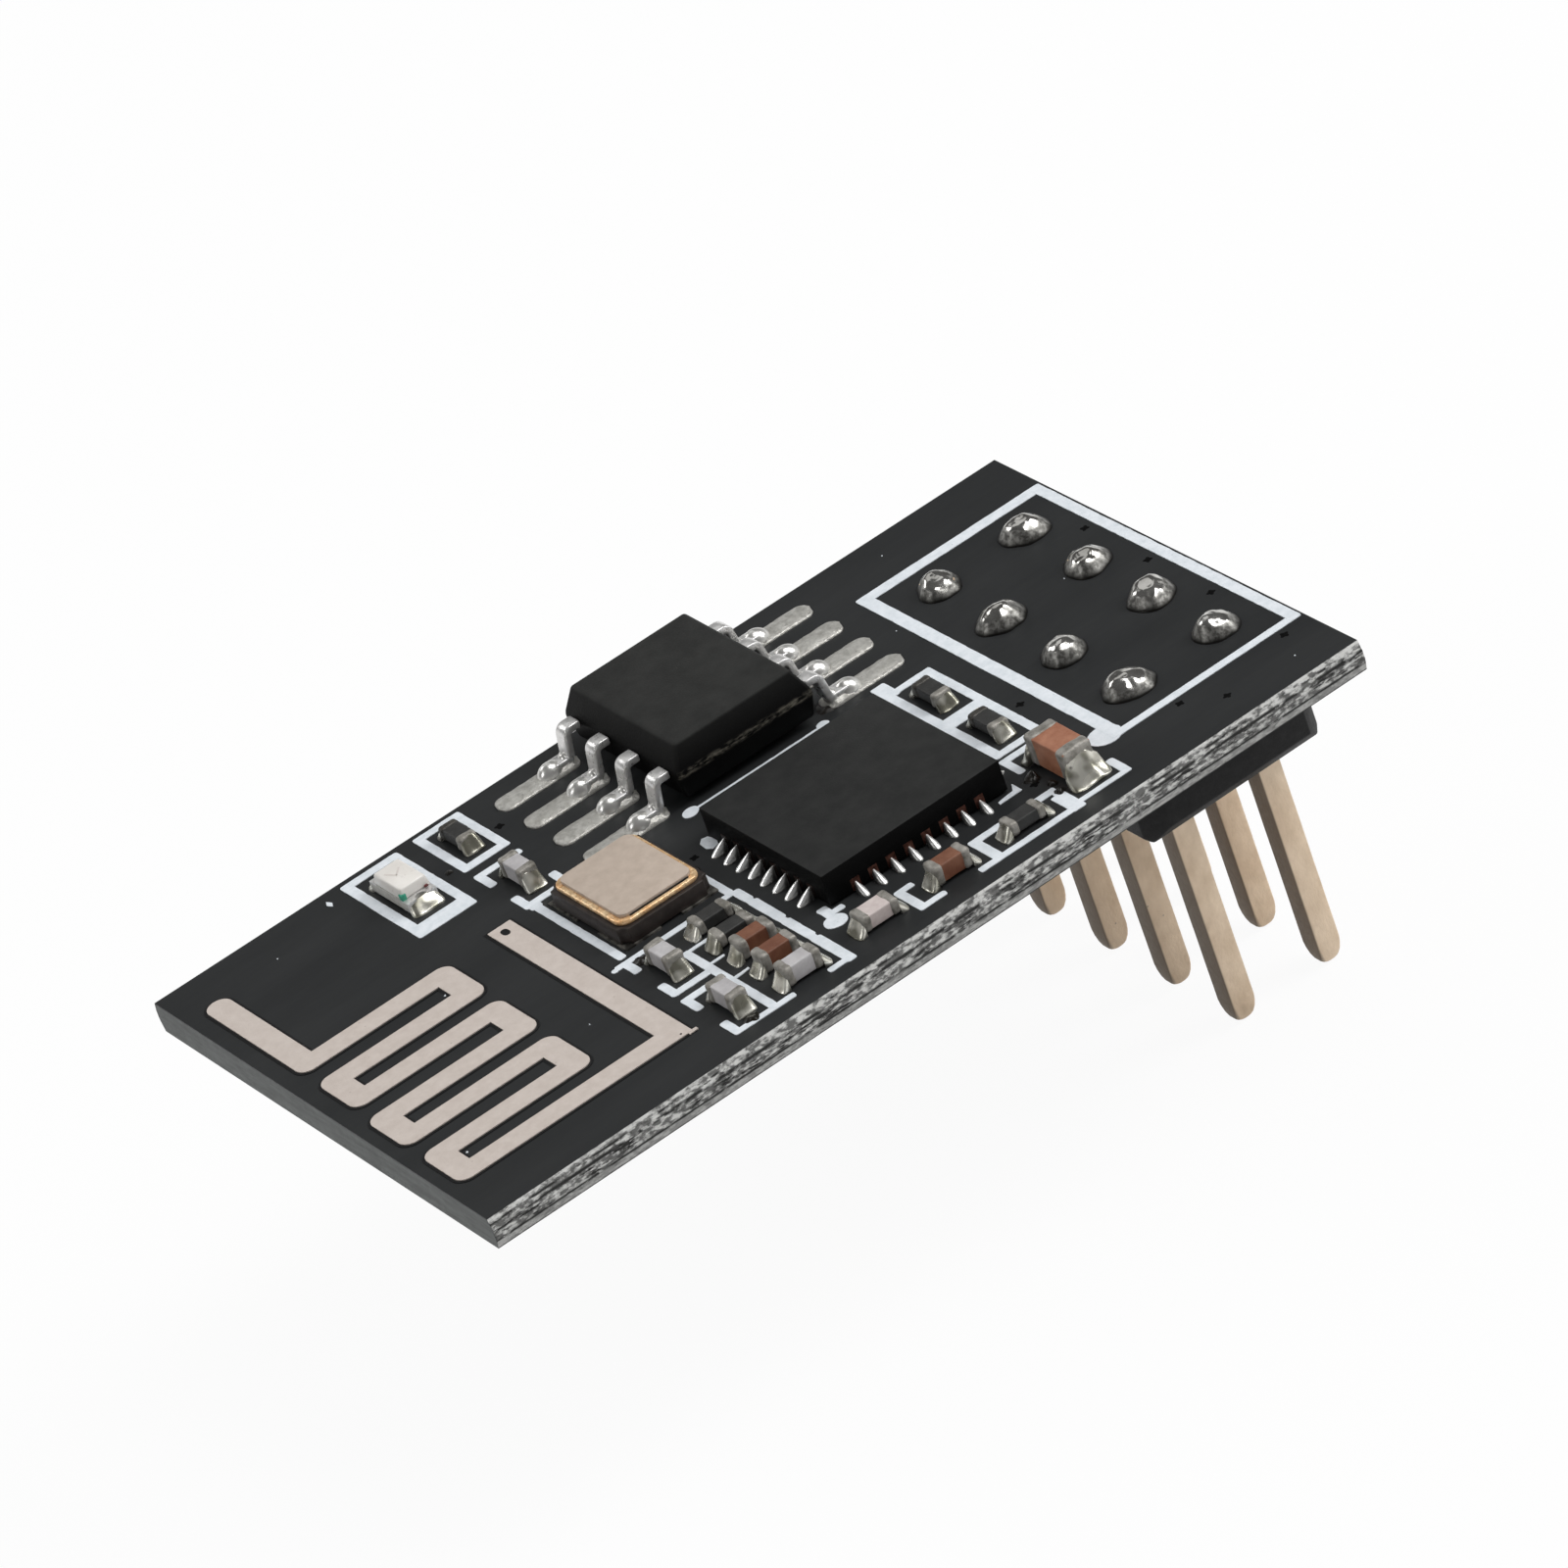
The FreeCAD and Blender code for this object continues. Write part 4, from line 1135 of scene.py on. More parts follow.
@dataclass
class Legend:
    """The white print: bars with soft, slightly uneven edges, and a few blots and dots."""

    thickness: float = 0.016
    corner: float = 0.06
    step: float = 0.16
    raggedness: float = 0.012
    shape: Shape = field(default_factory=Shape)
    count: int = 0

    def bars(self, *boxes: Sides) -> None:
        """Prints bars with rounded corners and uneven edges.

        Args:
            boxes: the left, right, front and back side of each bar.
        """
        for x0, x1, y0, y1 in boxes:
            corner = min(self.corner, 0.45 * (x1 - x0), 0.45 * (y1 - y0))
            turns = ((x1 - corner, y0 + corner, -90), (x1 - corner, y1 - corner, 0),
                     (x0 + corner, y1 - corner, 90), (x0 + corner, y0 + corner, 180))
            outline = []
            for x, y, start in turns:
                for part in range(4):
                    dx, dy = polar(corner, math.radians(start + 30 * part))
                    outline.append((x + dx, y + dy))
            self.outline(outline)

    def outline(self, corners: Sequence[Spot]) -> None:
        """Prints one closed shape, with its long sides cut into short uneven steps.

        Args:
            corners: its corners in order, seen from above.
        """
        points = []
        for start, end in zip(corners, [*corners[1:], corners[0]]):
            pieces = max(1, round(math.dist(start, end) / self.step))
            points.extend((start[0] + (end[0] - start[0]) * k / pieces,
                           start[1] + (end[1] - start[1]) * k / pieces) for k in range(pieces))
        uneven = [(x + self.raggedness * wobble(x, y, 1.0, 5.0), y + self.raggedness * wobble(x, y, 9.0, 5.0))
                  for x, y in points]
        self.count += 1
        height = self.thickness + 0.0002 * (self.count % 17)
        self.shape.slab(uneven, BOARD_TOP - 0.001, BOARD_TOP + height)

    def blot(self, x: float, y: float, length: float, width: float, turn: float = 0.0) -> None:
        """Prints an oval blot.

        Args:
            x: its middle along X.
            y: its middle along Y.
            length: its longer size.
            width: its shorter size.
            turn: how far its length is turned from X, in degrees.
        """
        tilt = math.radians(turn)
        outline = []
        for part in range(20):
            angle = 2 * math.pi * part / 20
            u = length / 2 * math.cos(angle)
            v = width / 2 * math.sin(angle)
            outline.append((x + u * math.cos(tilt) - v * math.sin(tilt),
                            y + u * math.sin(tilt) + v * math.cos(tilt)))
        self.outline(outline)

    def window(self, x0: float, x1: float, y0: float, y1: float, inner: Sides) -> None:
        """Prints a closed frame round a window.

        Args:
            x0: its left side.
            x1: its right side.
            y0: its front side.
            y1: its back side.
            inner: the window's left, right, front and back sides.
        """
        left, right, front, back = inner
        self.bars((x0, left, y0, y1), (right, x1, y0, y1), (x0, x1, y0, front), (x0, x1, back, y1))

    def build(self) -> None:
        """Prints everything and dresses it."""
        self.light_and_left_parts()
        self.crystal_and_group()
        self.radio_marks()
        self.front_parts()
        self.header_box()
        finish_piece("legend_print", self.shape, INK, ["printed_legend"], smooth_angle=30.0)

    def light_and_left_parts(self) -> None:
        """The boxes of the light, the resistor beside it and the three upright capacitors."""
        self.window(-16.50, -14.88, 3.37, 6.95, (-16.23, -15.12, 3.91, 6.687))
        self.outline([(-17.06, 6.62), (-16.98, 6.47), (-16.90, 6.62), (-16.98, 6.77)])
        self.window(-14.424, -13.105, 4.635, 6.97, (-14.19, -13.326, 4.908, 6.73))
        self.bars((-14.42, -14.20, 3.53, 4.298), (-14.42, -13.13, 4.07, 4.298),
                  (-14.42, -14.20, 1.957, 2.70), (-14.42, -13.13, 1.957, 2.19), (-13.35, -13.13, 1.96, 2.72),
                  (-14.41, -14.19, -2.57, -1.898),
                  (-14.41, -14.19, -4.163, -3.453), (-14.41, -13.16, -4.163, -3.94),
                  (-14.41, -14.19, -5.11, -4.395), (-14.41, -13.16, -4.62, -4.395),
                  (-14.41, -14.19, -6.68, -5.983))

    def crystal_and_group(self) -> None:
        """The crystal's box and the lines round the group of small parts in front of it."""
        self.bars((-14.314, -14.093, -1.78, 2.0), (-14.36, -14.05, 1.80, 2.05), (-14.25, -12.62, 1.99, 2.17),
                  (-11.43, -11.225, -1.95, 1.88), (-14.56, -11.24, -2.084, -1.898))
        self.blot(-14.60, -2.02, 0.17, 0.15)
        self.bars((-13.378, -13.156, -6.70, -2.90), (-13.30, -12.46, -3.035, -2.92),
                  (-13.30, -12.78, -3.89, -3.80))
        self.outline([(-13.30, -4.78), (-13.30, -4.90), (-12.75, -4.84), (-12.75, -4.75)])
        self.bars((-14.41, -12.72, -6.70, -6.51), (-11.79, -11.074, -6.70, -6.51),
                  (-11.34, -11.10, -2.60, -1.95), (-11.34, -11.074, -3.92, -2.66),
                  (-11.34, -11.09, -5.12, -4.02), (-11.34, -11.074, -6.74, -5.22),
                  (-11.33, -11.13, -6.70, -2.0))

    def radio_marks(self) -> None:
        """The radio chip's back line with its blots, its corner marks and its first-land dot."""
        self.bars((-9.85, -6.25, 1.575, 1.70))
        self.blot(-9.98, 1.66, 0.46, 0.37, 25.0)
        self.blot(-6.15, 1.71, 0.32, 0.27)
        self.outline([(-10.63, 0.06), (-10.52, -0.08), (-10.34, -0.02), (-10.25, 0.22), (-10.32, 0.46),
                      (-10.46, 0.50), (-10.60, 0.36)])
        self.bars((-10.63, -10.37, -4.90, -4.41), (-10.60, -10.10, -4.90, -4.70))
        self.blot(-10.57, -5.14, 0.58, 0.54)
        self.outline([(-5.12, -4.47), (-5.12, -4.90), (-5.76, -4.90), (-5.73, -4.79), (-5.28, -4.73)])

    def front_parts(self) -> None:
        """The boxes of the parts in front of the radio chip and to its right."""
        self.window(-4.747, -3.369, -3.37, 1.30, (-4.497, -3.60, -3.13, 1.08))
        self.bars((-4.70, -3.42, -1.357, -0.863), (-4.747, -4.35, 1.05, 1.78))
        self.blot(-4.80, 1.40, 0.20, 0.30)
        self.bars((-9.23, -9.00, -6.65, -5.49), (-9.20, -8.71, -5.69, -5.49), (-9.20, -8.476, -6.65, -6.45),
                  (-7.11, -6.85, -6.72, -5.46), (-7.05, -4.80, -5.69, -5.46), (-7.57, -4.80, -6.72, -6.51),
                  (-4.997, -4.62, -6.74, -5.81), (-5.36, -4.80, -5.69, -5.46), (-4.86, -4.68, -6.0, -5.46),
                  (-4.805, -4.60, -4.355, -3.483), (-4.805, -3.40, -3.698, -3.483),
                  (-4.80, -3.206, -6.59, -6.42), (-3.42, -3.206, -6.53, -5.78))

    def header_box(self) -> None:
        """The box round the header and the blot at its corner."""
        self.bars((-2.723, -2.374, -5.20, 5.263), (2.405, 2.695, -5.20, 5.263), (-2.723, 2.695, 4.914, 5.263),
                  (-2.723, 2.695, -5.227, -4.985))
        self.blot(-2.77, -4.90, 0.84, 0.80)
        self.outline([(-2.60, -4.55), (-2.40, -4.40), (-2.36, -4.99), (-2.10, -5.05), (-2.30, -5.22),
                      (-2.75, -5.25)])


# The header


@dataclass
class Header:
    """The strip, its pins with drawn-down tips, and the solder domes over them."""

    pins: int = 8
    pin_edge: float = 0.05
    pin_rows: int = 24
    tip_length: float = 0.55
    tip: tuple[Point, ...] = (
        (0.0, 0.42, 0.10), (0.03, 0.56, 0.14), (0.09, 0.69, 0.16), (0.2, 0.81, 0.15), (0.4, 0.91, 0.12),
        (0.7, 0.975, 0.08), (1.0, 1.0, 0.05))
    foot_radius: float = 0.585
    dome_height: float = 0.40
    dome_profile: tuple[Spot, ...] = (
        (0.0, 1.0), (0.2, 0.98), (0.35, 0.92), (0.48, 0.82), (0.60, 0.70), (0.71, 0.54), (0.80, 0.38),
        (0.88, 0.22), (0.95, 0.09), (1.0, 0.0))
    oval: float = 0.06
    ragged: float = 0.10
    lump: float = 0.055
    small_lump: float = 0.030
    pit: float = 0.030
    swell: float = 0.07
    seed: int = 11

    def build(self) -> None:
        """Builds and dresses the header."""
        round_node("strip_moulding", "header_strip", PLASTIC, 0.035)
        for number in range(1, self.pins + 1):
            self.pin(number)
        self.domes()

    def pin(self, number: int) -> None:
        """Builds one pin: rounded edges, a rounded drawn-down tip and uneven plating.

        Args:
            number: the pin's number.
        """
        node = f"header_pin_{number}"
        low, high = node_box(node)
        x, y = (low.x + high.x) / 2, (low.y + high.y) / 2
        half = (high.x - low.x) / 2
        rows = [(low.z + self.tip_length * along, share, edge) for along, share, edge in self.tip]
        shoulder = rows[-1][0]
        rise = (high.z - shoulder) / self.pin_rows
        rows += [(shoulder + rise * (step + 1), 1.0, self.pin_edge) for step in range(self.pin_rows)]
        shape = Shape()
        loops = []
        for z, share, edge in rows:
            reach = half * share + 0.003 * wobble(number * 5.0, 0.0, z, 1.1)
            loops.append([shape.mesh.verts.new((x + u, y + v, z)) for u, v in self.ring(reach, edge)])
        for lower, upper in zip(loops, loops[1:]):
            shape.bridge(lower, upper)
        shape.mesh.faces.new(loops[0][::-1])
        shape.mesh.faces.new(loops[-1])
        finish_piece(f"pin_{number}", shape, PIN, [node])

    def ring(self, reach: float, edge: float) -> list[Spot]:
        """The outline of a square with rounded corners.

        Args:
            reach: half of the square's side.
            edge: the corners' radius.

        Returns:
            Its points in order round the middle.
        """
        points = []
        for turn, (side_x, side_y) in enumerate(((1, 1), (-1, 1), (-1, -1), (1, -1))):
            for part in range(4):
                dx, dy = polar(edge, math.radians(90 * turn + 30 * part))
                points.append(((reach - edge) * side_x + dx, (reach - edge) * side_y + dy))
        return points

    def profile(self, share: float) -> float:
        """Height share of a dome, between the points of its profile.

        Args:
            share: 0 at the middle and 1 at the rim.

        Returns:
            The height's share.
        """
        for (near, high), (far, low) in zip(self.dome_profile, self.dome_profile[1:]):
            if share <= far:
                return high + (low - high) * ((share - near) / (far - near))
        return self.dome_profile[-1][1]

    def domes(self) -> None:
        """Builds the eight solder domes, each a little different."""
        shape = Shape()
        draw = random.Random(self.seed)
        for number in range(1, self.pins + 1):
            low, high = node_box(f"header_pin_{number}")
            middle = ((low.x + high.x) / 2, (low.y + high.y) / 2)
            lean = draw.uniform(0, 2 * math.pi)
            height = self.dome_height * draw.uniform(0.92, 1.08)
            foot = self.foot_radius * draw.uniform(0.98, 1.12)
            phase = draw.uniform(0, 100)

            def place(share: float, angle: float) -> Point:
                """A point of one dome: a hollow skirt, a full neck and an uneven crown.

                Args:
                    share: 0 at the middle and 1 at the rim.
                    angle: the way from the middle.

                Returns:
                    The offset from the middle, and the height.
                """
                uneven = wobble(math.cos(angle), math.sin(angle), phase, 1.5)
                outline = 1 + self.oval * math.cos(2 * (angle - lean)) + self.ragged * uneven
                x, y = polar(foot * outline * share, angle)
                lumps = (wobble(x + phase, y, 0.0, 1.6) * self.lump
                         + wobble(x, y + phase, 5.0, 3.6) * self.small_lump) * (1 - share ** 3)
                pits = (wobble(x + phase, y - phase, 9.0, 6.5) * self.pit
                        * math.sin(math.pi * share) ** 2 * share)
                z = height * self.profile(share)
                z += lumps + pits + self.swell * math.cos(angle - lean) * share * (1 - share)
                return x, y, BOARD_TOP + 0.012 + max(0.0, z)

            shape.mound(middle, 26, 60, place, BOARD_TOP - 0.01)
        finish_piece("pin_solder", shape, DOME, ["header_joints"], smooth_angle=80.0)


# Solder on pads


def fillet(shape: Shape, start: Vector, outward: Vector, width: float, rise: float, reach: float,
           seed: float, lumps: float) -> None:
    """Adds a wetted solder fillet against an upright face.

    Args:
        shape: the mesh that it joins.
        start: the middle of the face's foot, on the board.
        outward: the way from the face, along X or Y.
        width: the pad's width.
        rise: how high the solder climbs.
        reach: how far the pad goes.
        seed: makes each one different.
        lumps: how uneven its surface is.
    """
    across = Vector((-outward.y, outward.x, 0.0))

    def place(u: float, v: float) -> Point:
        """A point of the fillet.

        Args:
            u: share of the way across the pad.
            v: share of the way from the face outwards.

        Returns:
            The point.
        """
        side = abs(2 * u - 1)
        spread = width * (u - 0.5) * (1 - 0.12 * (1 - v) - 0.12 * v ** 4)
        away = reach * v * (1 - 0.22 * side ** 4)
        back = arch(side, 3)
        z = 0.02 + rise * (1 - v) ** 1.8 * (0.35 + 0.65 * back)
        z += (0.03 + 0.06 * math.sin(math.pi * min(1.0, 0.08 + v * 0.92))) * back
        crumple = wobble(start.x + spread, start.y + away, seed, 2.6)
        crumple += 0.3 * wobble(start.x + spread, start.y + away, seed + 5.0, 4.0)
        z += lumps * crumple * back * (1 - 0.4 * v)
        point = start + across * spread + outward * (away - 0.02)
        return point.x, point.y, BOARD_TOP + max(0.015, z)

    shape.patch(24, 24, place)


def bead(shape: Shape, start: Vector, outward: Vector, width: float, rise: float, reach: float,
         seed: float, root: float = 0.34, widest: float = 0.5) -> None:
    """Adds a narrow round-backed bead of solder that runs down from a chip's side.

    Args:
        shape: the mesh that it joins.
        start: the middle of the chip's foot at this land.
        outward: the way from the chip, along X or Y.
        width: the bead's width.
        rise: how high it climbs.
        reach: how far it runs.
        seed: makes each one different.
        root: the width at the chip, as a share of the full width.
        widest: where along its run it is full width.
    """
    across = Vector((-outward.y, outward.x, 0.0))
    bulge = 0.05 + 0.02 * wobble(start.x, start.y, seed, 2.0)

    def place(u: float, v: float) -> Point:
        """A point of the bead.

        Args:
            u: share of the way across it.
            v: share of the way from the chip outwards.

        Returns:
            The point.
        """
        side = 2 * u - 1
        taper = root + (1 - root) * math.sin(math.pi / 2 * min(1.0, v / widest))
        taper *= arch(max(0.0, (v - widest) / (1 - widest)), 2.2)
        belly = bulge * math.sin(math.pi * min(1.0, 0.12 + v * 0.88))
        z = 0.015 + arch(side) * (rise * (1 - v) ** 1.35 + belly)
        point = start + across * (width / 2 * side * taper) + outward * (reach * v - 0.01)
        return point.x, point.y, BOARD_TOP + z

    shape.patch(10, 14, place)


@dataclass
class ChipPart:
    """A chip resistor or capacitor: block, plated ends and the solder on its two pads."""

    kind: Kind
    number: int
    finish: Finish
    pad_beyond: float = 0.24
    pad_extra: float = 0.04
    climb: float = 0.66
    lumps: float = 0.08
    band: float = 0.24
    cap_round: float = 0.085
    # whether the far cap gets painted shade
    shaded_far_cap: bool = False

    def build(self, solder: Shape) -> None:
        """Builds the part, and adds its solder to the shared mesh.

        Args:
            solder: the mesh that holds all this solder.
        """
        name = f"{self.kind.value}_{self.number}"
        block = Shape()
        block.pillow(*node_box(f"{name}_body"), 0.035, 0.006, self.number)
        finish_piece(f"{name}_block", block, self.finish, [f"{name}_body"])
        low, high = node_box(f"{name}_ends")
        axis = (Axis.X if high.x - low.x > high.y - low.y else Axis.Y).value
        self.ends(name, low, high, axis)
        middle = (low + high) / 2
        for side in (-1, 1):
            start = Vector((middle.x, middle.y, 0.0))
            start[axis] = (high if side > 0 else low)[axis]
            outward = Vector((0.0, 0.0, 0.0))
            outward[axis] = side
            width = (high - low)[1 - axis] + 2 * self.pad_extra
            climb = self.climb + 0.15 * wobble(middle.x, middle.y, side, 2.0)
            fillet(solder, start, outward, width, climb * (high.z - BOARD_TOP), self.pad_beyond,
                   self.number + side, self.lumps)

    def ends(self, name: str, low: Vector, high: Vector, axis: int) -> None:
        """Builds the two plated ends as rounded caps, swollen a little by their plating.

        Args:
            name: the part's name.
            low: the lowest corner of both ends.
            high: their highest corner.
            axis: the axis that the part lies along.
        """
        for side, title in ((-1, "near_cap"), (1, "far_cap")):
            cap_low, cap_high = low.copy(), high.copy()
            if side > 0:
                cap_low[axis] = high[axis] - self.band
            else:
                cap_high[axis] = low[axis] + self.band
            shape = Shape()
            shape.pillow(cap_low, cap_high, self.cap_round, 0.022, self.number + 3.0 * side)
            # the far cap of a marked part gets near-black plating: painted shade
            plating = SHADED_FAR_END if self.shaded_far_cap and side > 0 else ENDS
            finish_piece(f"{name}_{title}", shape, plating, [f"{name}_ends"] if side < 0 else [])


@dataclass
class ChipParts:
    """All the chip resistors and capacitors."""

    resistors: int = 6
    # the resistors whose far cap gets painted shade
    shaded_far_caps: tuple[int, ...] = (1, 4, 5)
    ceramics: tuple[Finish, ...] = (GREY, GREY, GREY, BROWN, BROWN, GREY, PALE, BROWN, RUST)
    large: int = 9

    def build(self) -> None:
        """Builds every part and their shared solder."""
        solder = Shape()
        for number in range(1, self.resistors + 1):
            dark = number in self.shaded_far_caps
            ChipPart(Kind.RESISTOR, number, GLAZE, climb=0.75, shaded_far_cap=dark).build(solder)
        for number, ceramic in enumerate(self.ceramics, 1):
            part = ChipPart(Kind.CAPACITOR, number, ceramic)
            if number == self.large:
                part = ChipPart(Kind.CAPACITOR, number, ceramic, pad_beyond=0.42, pad_extra=0.16, climb=0.74,
                                lumps=0.16, band=0.38, cap_round=0.11)
            part.build(solder)
        finish_piece("chip_part_solder", solder, SOLDER, ["chip_part_joints"], smooth_angle=ALL_SMOOTH)


# The chips


@dataclass
class RadioChip:
    """The square leadless chip, its lands and the solder at its sides."""

    lands: int = 8
    pitch: float = 0.5
    pad_width: float = 0.22
    pad_beyond: float = 0.42
    rise: float = 0.22
    left_side: int = 2
    left_width: float = 0.29
    left_beyond: float = 0.46
    left_rise: float = 0.26

    def build(self) -> None:
        """Builds and dresses the chip."""
        round_node("radio_moulding", "radio_chip_body", RADIO, 0.018)
        dress_node("radio_chip_lands", COPPER)
        self.solder()

    def solder(self) -> None:
        """Builds the wetted solder at each land."""
        low, high = node_box("radio_chip_body")
        middle = (low + high) / 2
        half = (high.x - low.x) / 2
        shape, left = Shape(), Shape()
        for turn in range(4):
            outward = Vector((round(math.cos(math.pi / 2 * turn)), round(math.sin(math.pi / 2 * turn)), 0.0))
            across = Vector((-outward.y, outward.x, 0.0))
            for land in range(self.lands):
                offset = self.pitch * (land - (self.lands - 1) / 2)
                start = Vector((middle.x, middle.y, 0.0)) + outward * half + across * offset
                drawn = 1 + 0.2 * wobble(start.x, start.y, 2.0, 3.0)
                seed = land + 10.0 * turn
                if turn == self.left_side:
                    bead(left, start, outward, self.left_width, self.left_rise * drawn, self.left_beyond,
                         seed, root=0.25, widest=0.35)
                else:
                    bead(shape, start, outward, self.pad_width, self.rise * drawn, self.pad_beyond, seed,
                         root=0.62, widest=0.4)
        finish_piece("radio_chip_solder", shape, BEAD, ["radio_chip_joints"], smooth_angle=LUMPY)
        finish_piece("radio_chip_left_solder", left, LEFT_BEAD, smooth_angle=LUMPY)


@dataclass
class MemoryChip:
    """The eight-leaded chip: body, bent leads and the long tinned pads."""

    rows: int = 4
    pad_length: float = 2.30
    pad_width: float = 0.66
    span: float = 9.06
    pitch: float = 1.27
    toe: float = 3.0
    foot: float = 0.55
    foot_half: float = 0.20
    pad_skin: float = 0.03
    pad_crown: float = 0.075
    toe_climb: float = 0.15
    flank_climb: float = 0.09
    toe_heap: Point = (0.38, 0.30, 0.30)
    heel_heap: Point = (0.20, 0.26, 0.30)

    def build(self) -> None:
        """Builds and dresses the chip."""
        round_node("memory_moulding", "memory_chip_body", MEMORY, 0.09, 4)
        round_node("memory_leads", "memory_chip_leads", LEAD, 0.045, 3)
        self.pads()
        self.toes()

    def leads(self) -> Iterator[tuple[int, int, float, float]]:
        """Goes round the leads.

        Returns:
            Each lead's side, its row, the chip's middle along X and the lead's place along Y.
        """
        low, high = node_box("memory_chip_body")
        middle = (low + high) / 2
        for side in (-1, 1):
            for row in range(self.rows):
                yield side, row, middle.x, middle.y + self.pitch * (row - (self.rows - 1) / 2)

    def pads(self) -> None:
        """Builds the tinned pads: low round-ended heaps that climb round the feet."""
        shape = Shape()
        for side, row, middle, y in self.leads():
            seed = row + 7.0 * side

            def place(u: float, v: float) -> Point:
                """A point of the pad.

                Args:
                    u: share of the way from its inner to its outer end.
                    v: share of the way across it.

                Returns:
                    The point.
                """
                away = self.span / 2 - self.pad_length * (1 - u)
                end = max(0.0, (abs(2 * u - 1) - 0.74) / 0.26)
                width = self.pad_width * arch(end, 2.6) * (1 + 0.03 * wobble(u * 3, seed, 0.0, 1.0))
                offset = width * (v - 0.5)
                crown = 1 - abs(2 * v - 1) ** 2.2
                z = self.pad_skin + self.pad_crown * crown * (1 - 0.5 * end ** 2)
                toe_gap = away - self.toe
                if toe_gap > 0:
                    fade = math.exp(-(toe_gap / 0.13) ** 2)
                    z += self.toe_climb * fade * max(0.0, 1 - (offset / 0.24) ** 2)
                elif toe_gap > -self.foot:
                    z += self.flank_climb * max(0.0, 1 - abs(abs(offset) - self.foot_half) / 0.14)
                z += 0.012 * wobble(away * side, y + offset, seed, 5.0)
                return middle + side * away, y + offset, BOARD_TOP + max(0.012, z)

            shape.patch(46, 14, place)
        finish_piece("memory_pad_solder", shape, TINNED, ["memory_chip_pads"], smooth_angle=LUMPY)

    def toes(self) -> None:
        """Builds the bright solder that wets each lead's foot."""
        shape = Shape()
        for side, row, middle, y in self.leads():
            seed = row * 3.0 + side

            def toe(share: float, angle: float) -> Point:
                """A point of the heap at the lead's toe.

                Args:
                    share: 0 at the middle and 1 at the rim.
                    angle: the way from the middle.

                Returns:
                    The offset from the middle, and the height.
                """
                u, v = polar(share, angle)
                long, wide, tall = self.toe_heap
                z = tall * (1 - share ** 2) ** 0.7 + 0.02 * wobble(u, v, seed, 1.2) * (1 - share)
                return long * u, wide * v, BOARD_TOP + 0.05 + max(0.0, z)

            def heel(share: float, angle: float) -> Point:
                """A point of the heap at the lead's heel.

                Args:
                    share: 0 at the middle and 1 at the rim.
                    angle: the way from the middle.

                Returns:
                    The offset from the middle, and the height.
                """
                u, v = polar(share, angle)
                long, wide, tall = self.heel_heap
                return long * u, wide * v, BOARD_TOP + 0.05 + tall * (1 - share ** 2) ** 0.7

            shape.mound((middle + side * (self.toe - 0.03), y), 12, 32, toe, BOARD_TOP + 0.01)
            shape.mound((middle + side * (self.toe - self.foot + 0.10), y), 10, 28, heel, BOARD_TOP + 0.01)
            for flank in (-1, 1):
                start = Vector((middle + side * (self.toe - self.foot / 2), y + flank * self.foot_half, 0.0))
                bead(shape, start, Vector((0.0, flank, 0.0)), self.foot, self.flank_climb, 0.10, seed + flank)
        finish_piece("memory_toe_solder", shape, WETTED, smooth_angle=LUMPY)


@dataclass
class Crystal:
    """The crystal's dark tub, gilt ring and welded lid."""

    inset: float = 0.035
    # where the near-black slab of painted shadow under the lid's front edge ends, how deep it sits and how
    # high
    lid_shadow_ends: Spot = (0.25, 0.20)
    lid_shadow_depths: Spot = (-0.03, 0.01)
    lid_shadow_heights: Spot = (-0.01, 0.03)

    def build(self) -> None:
        """Builds and dresses the crystal."""
        round_node("crystal_tub", "crystal_base", TUB, 0.025)
        round_node("crystal_seal", "crystal_ring", GILT, 0.035)
        low, high = node_box("crystal_lid")
        self.lid(low, high)
        # a near-black slab under the lid's front edge: painted shadow in the gap between lid and ring
        left, right = low.x + self.lid_shadow_ends[0], high.x - self.lid_shadow_ends[1]
        front, back = (low.y + self.inset + depth for depth in self.lid_shadow_depths)
        gap = Shape()
        gap.slab([(left, front), (right, front), (right, back), (left, back)],
                 *(low.z + height for height in self.lid_shadow_heights))
        finish_piece("crystal_lid_shadow", gap, SHADE_BLACK)
        # the crystal's joints: solder darkened with painted shade
        dress_node("crystal_joints", SHADED_SOLDER)

    def lid(self, low: Vector, high: Vector) -> None:
        """Builds the lid, with its sides drawn in by a hair, so that more of the ring shows.

        Args:
            low: its lowest corner.
            high: its highest corner.
        """
        shape = Shape()
        shape.node_copy("crystal_lid", 0.014)
        middle = (low + high) / 2
        for point in shape.mesh.verts:
            for axis in (0, 1):
                share = 1 - 2 * self.inset / (high[axis] - low[axis])
                point.co[axis] = middle[axis] + (point.co[axis] - middle[axis]) * share
        finish_piece("crystal_cover", shape, LID, ["crystal_lid"])


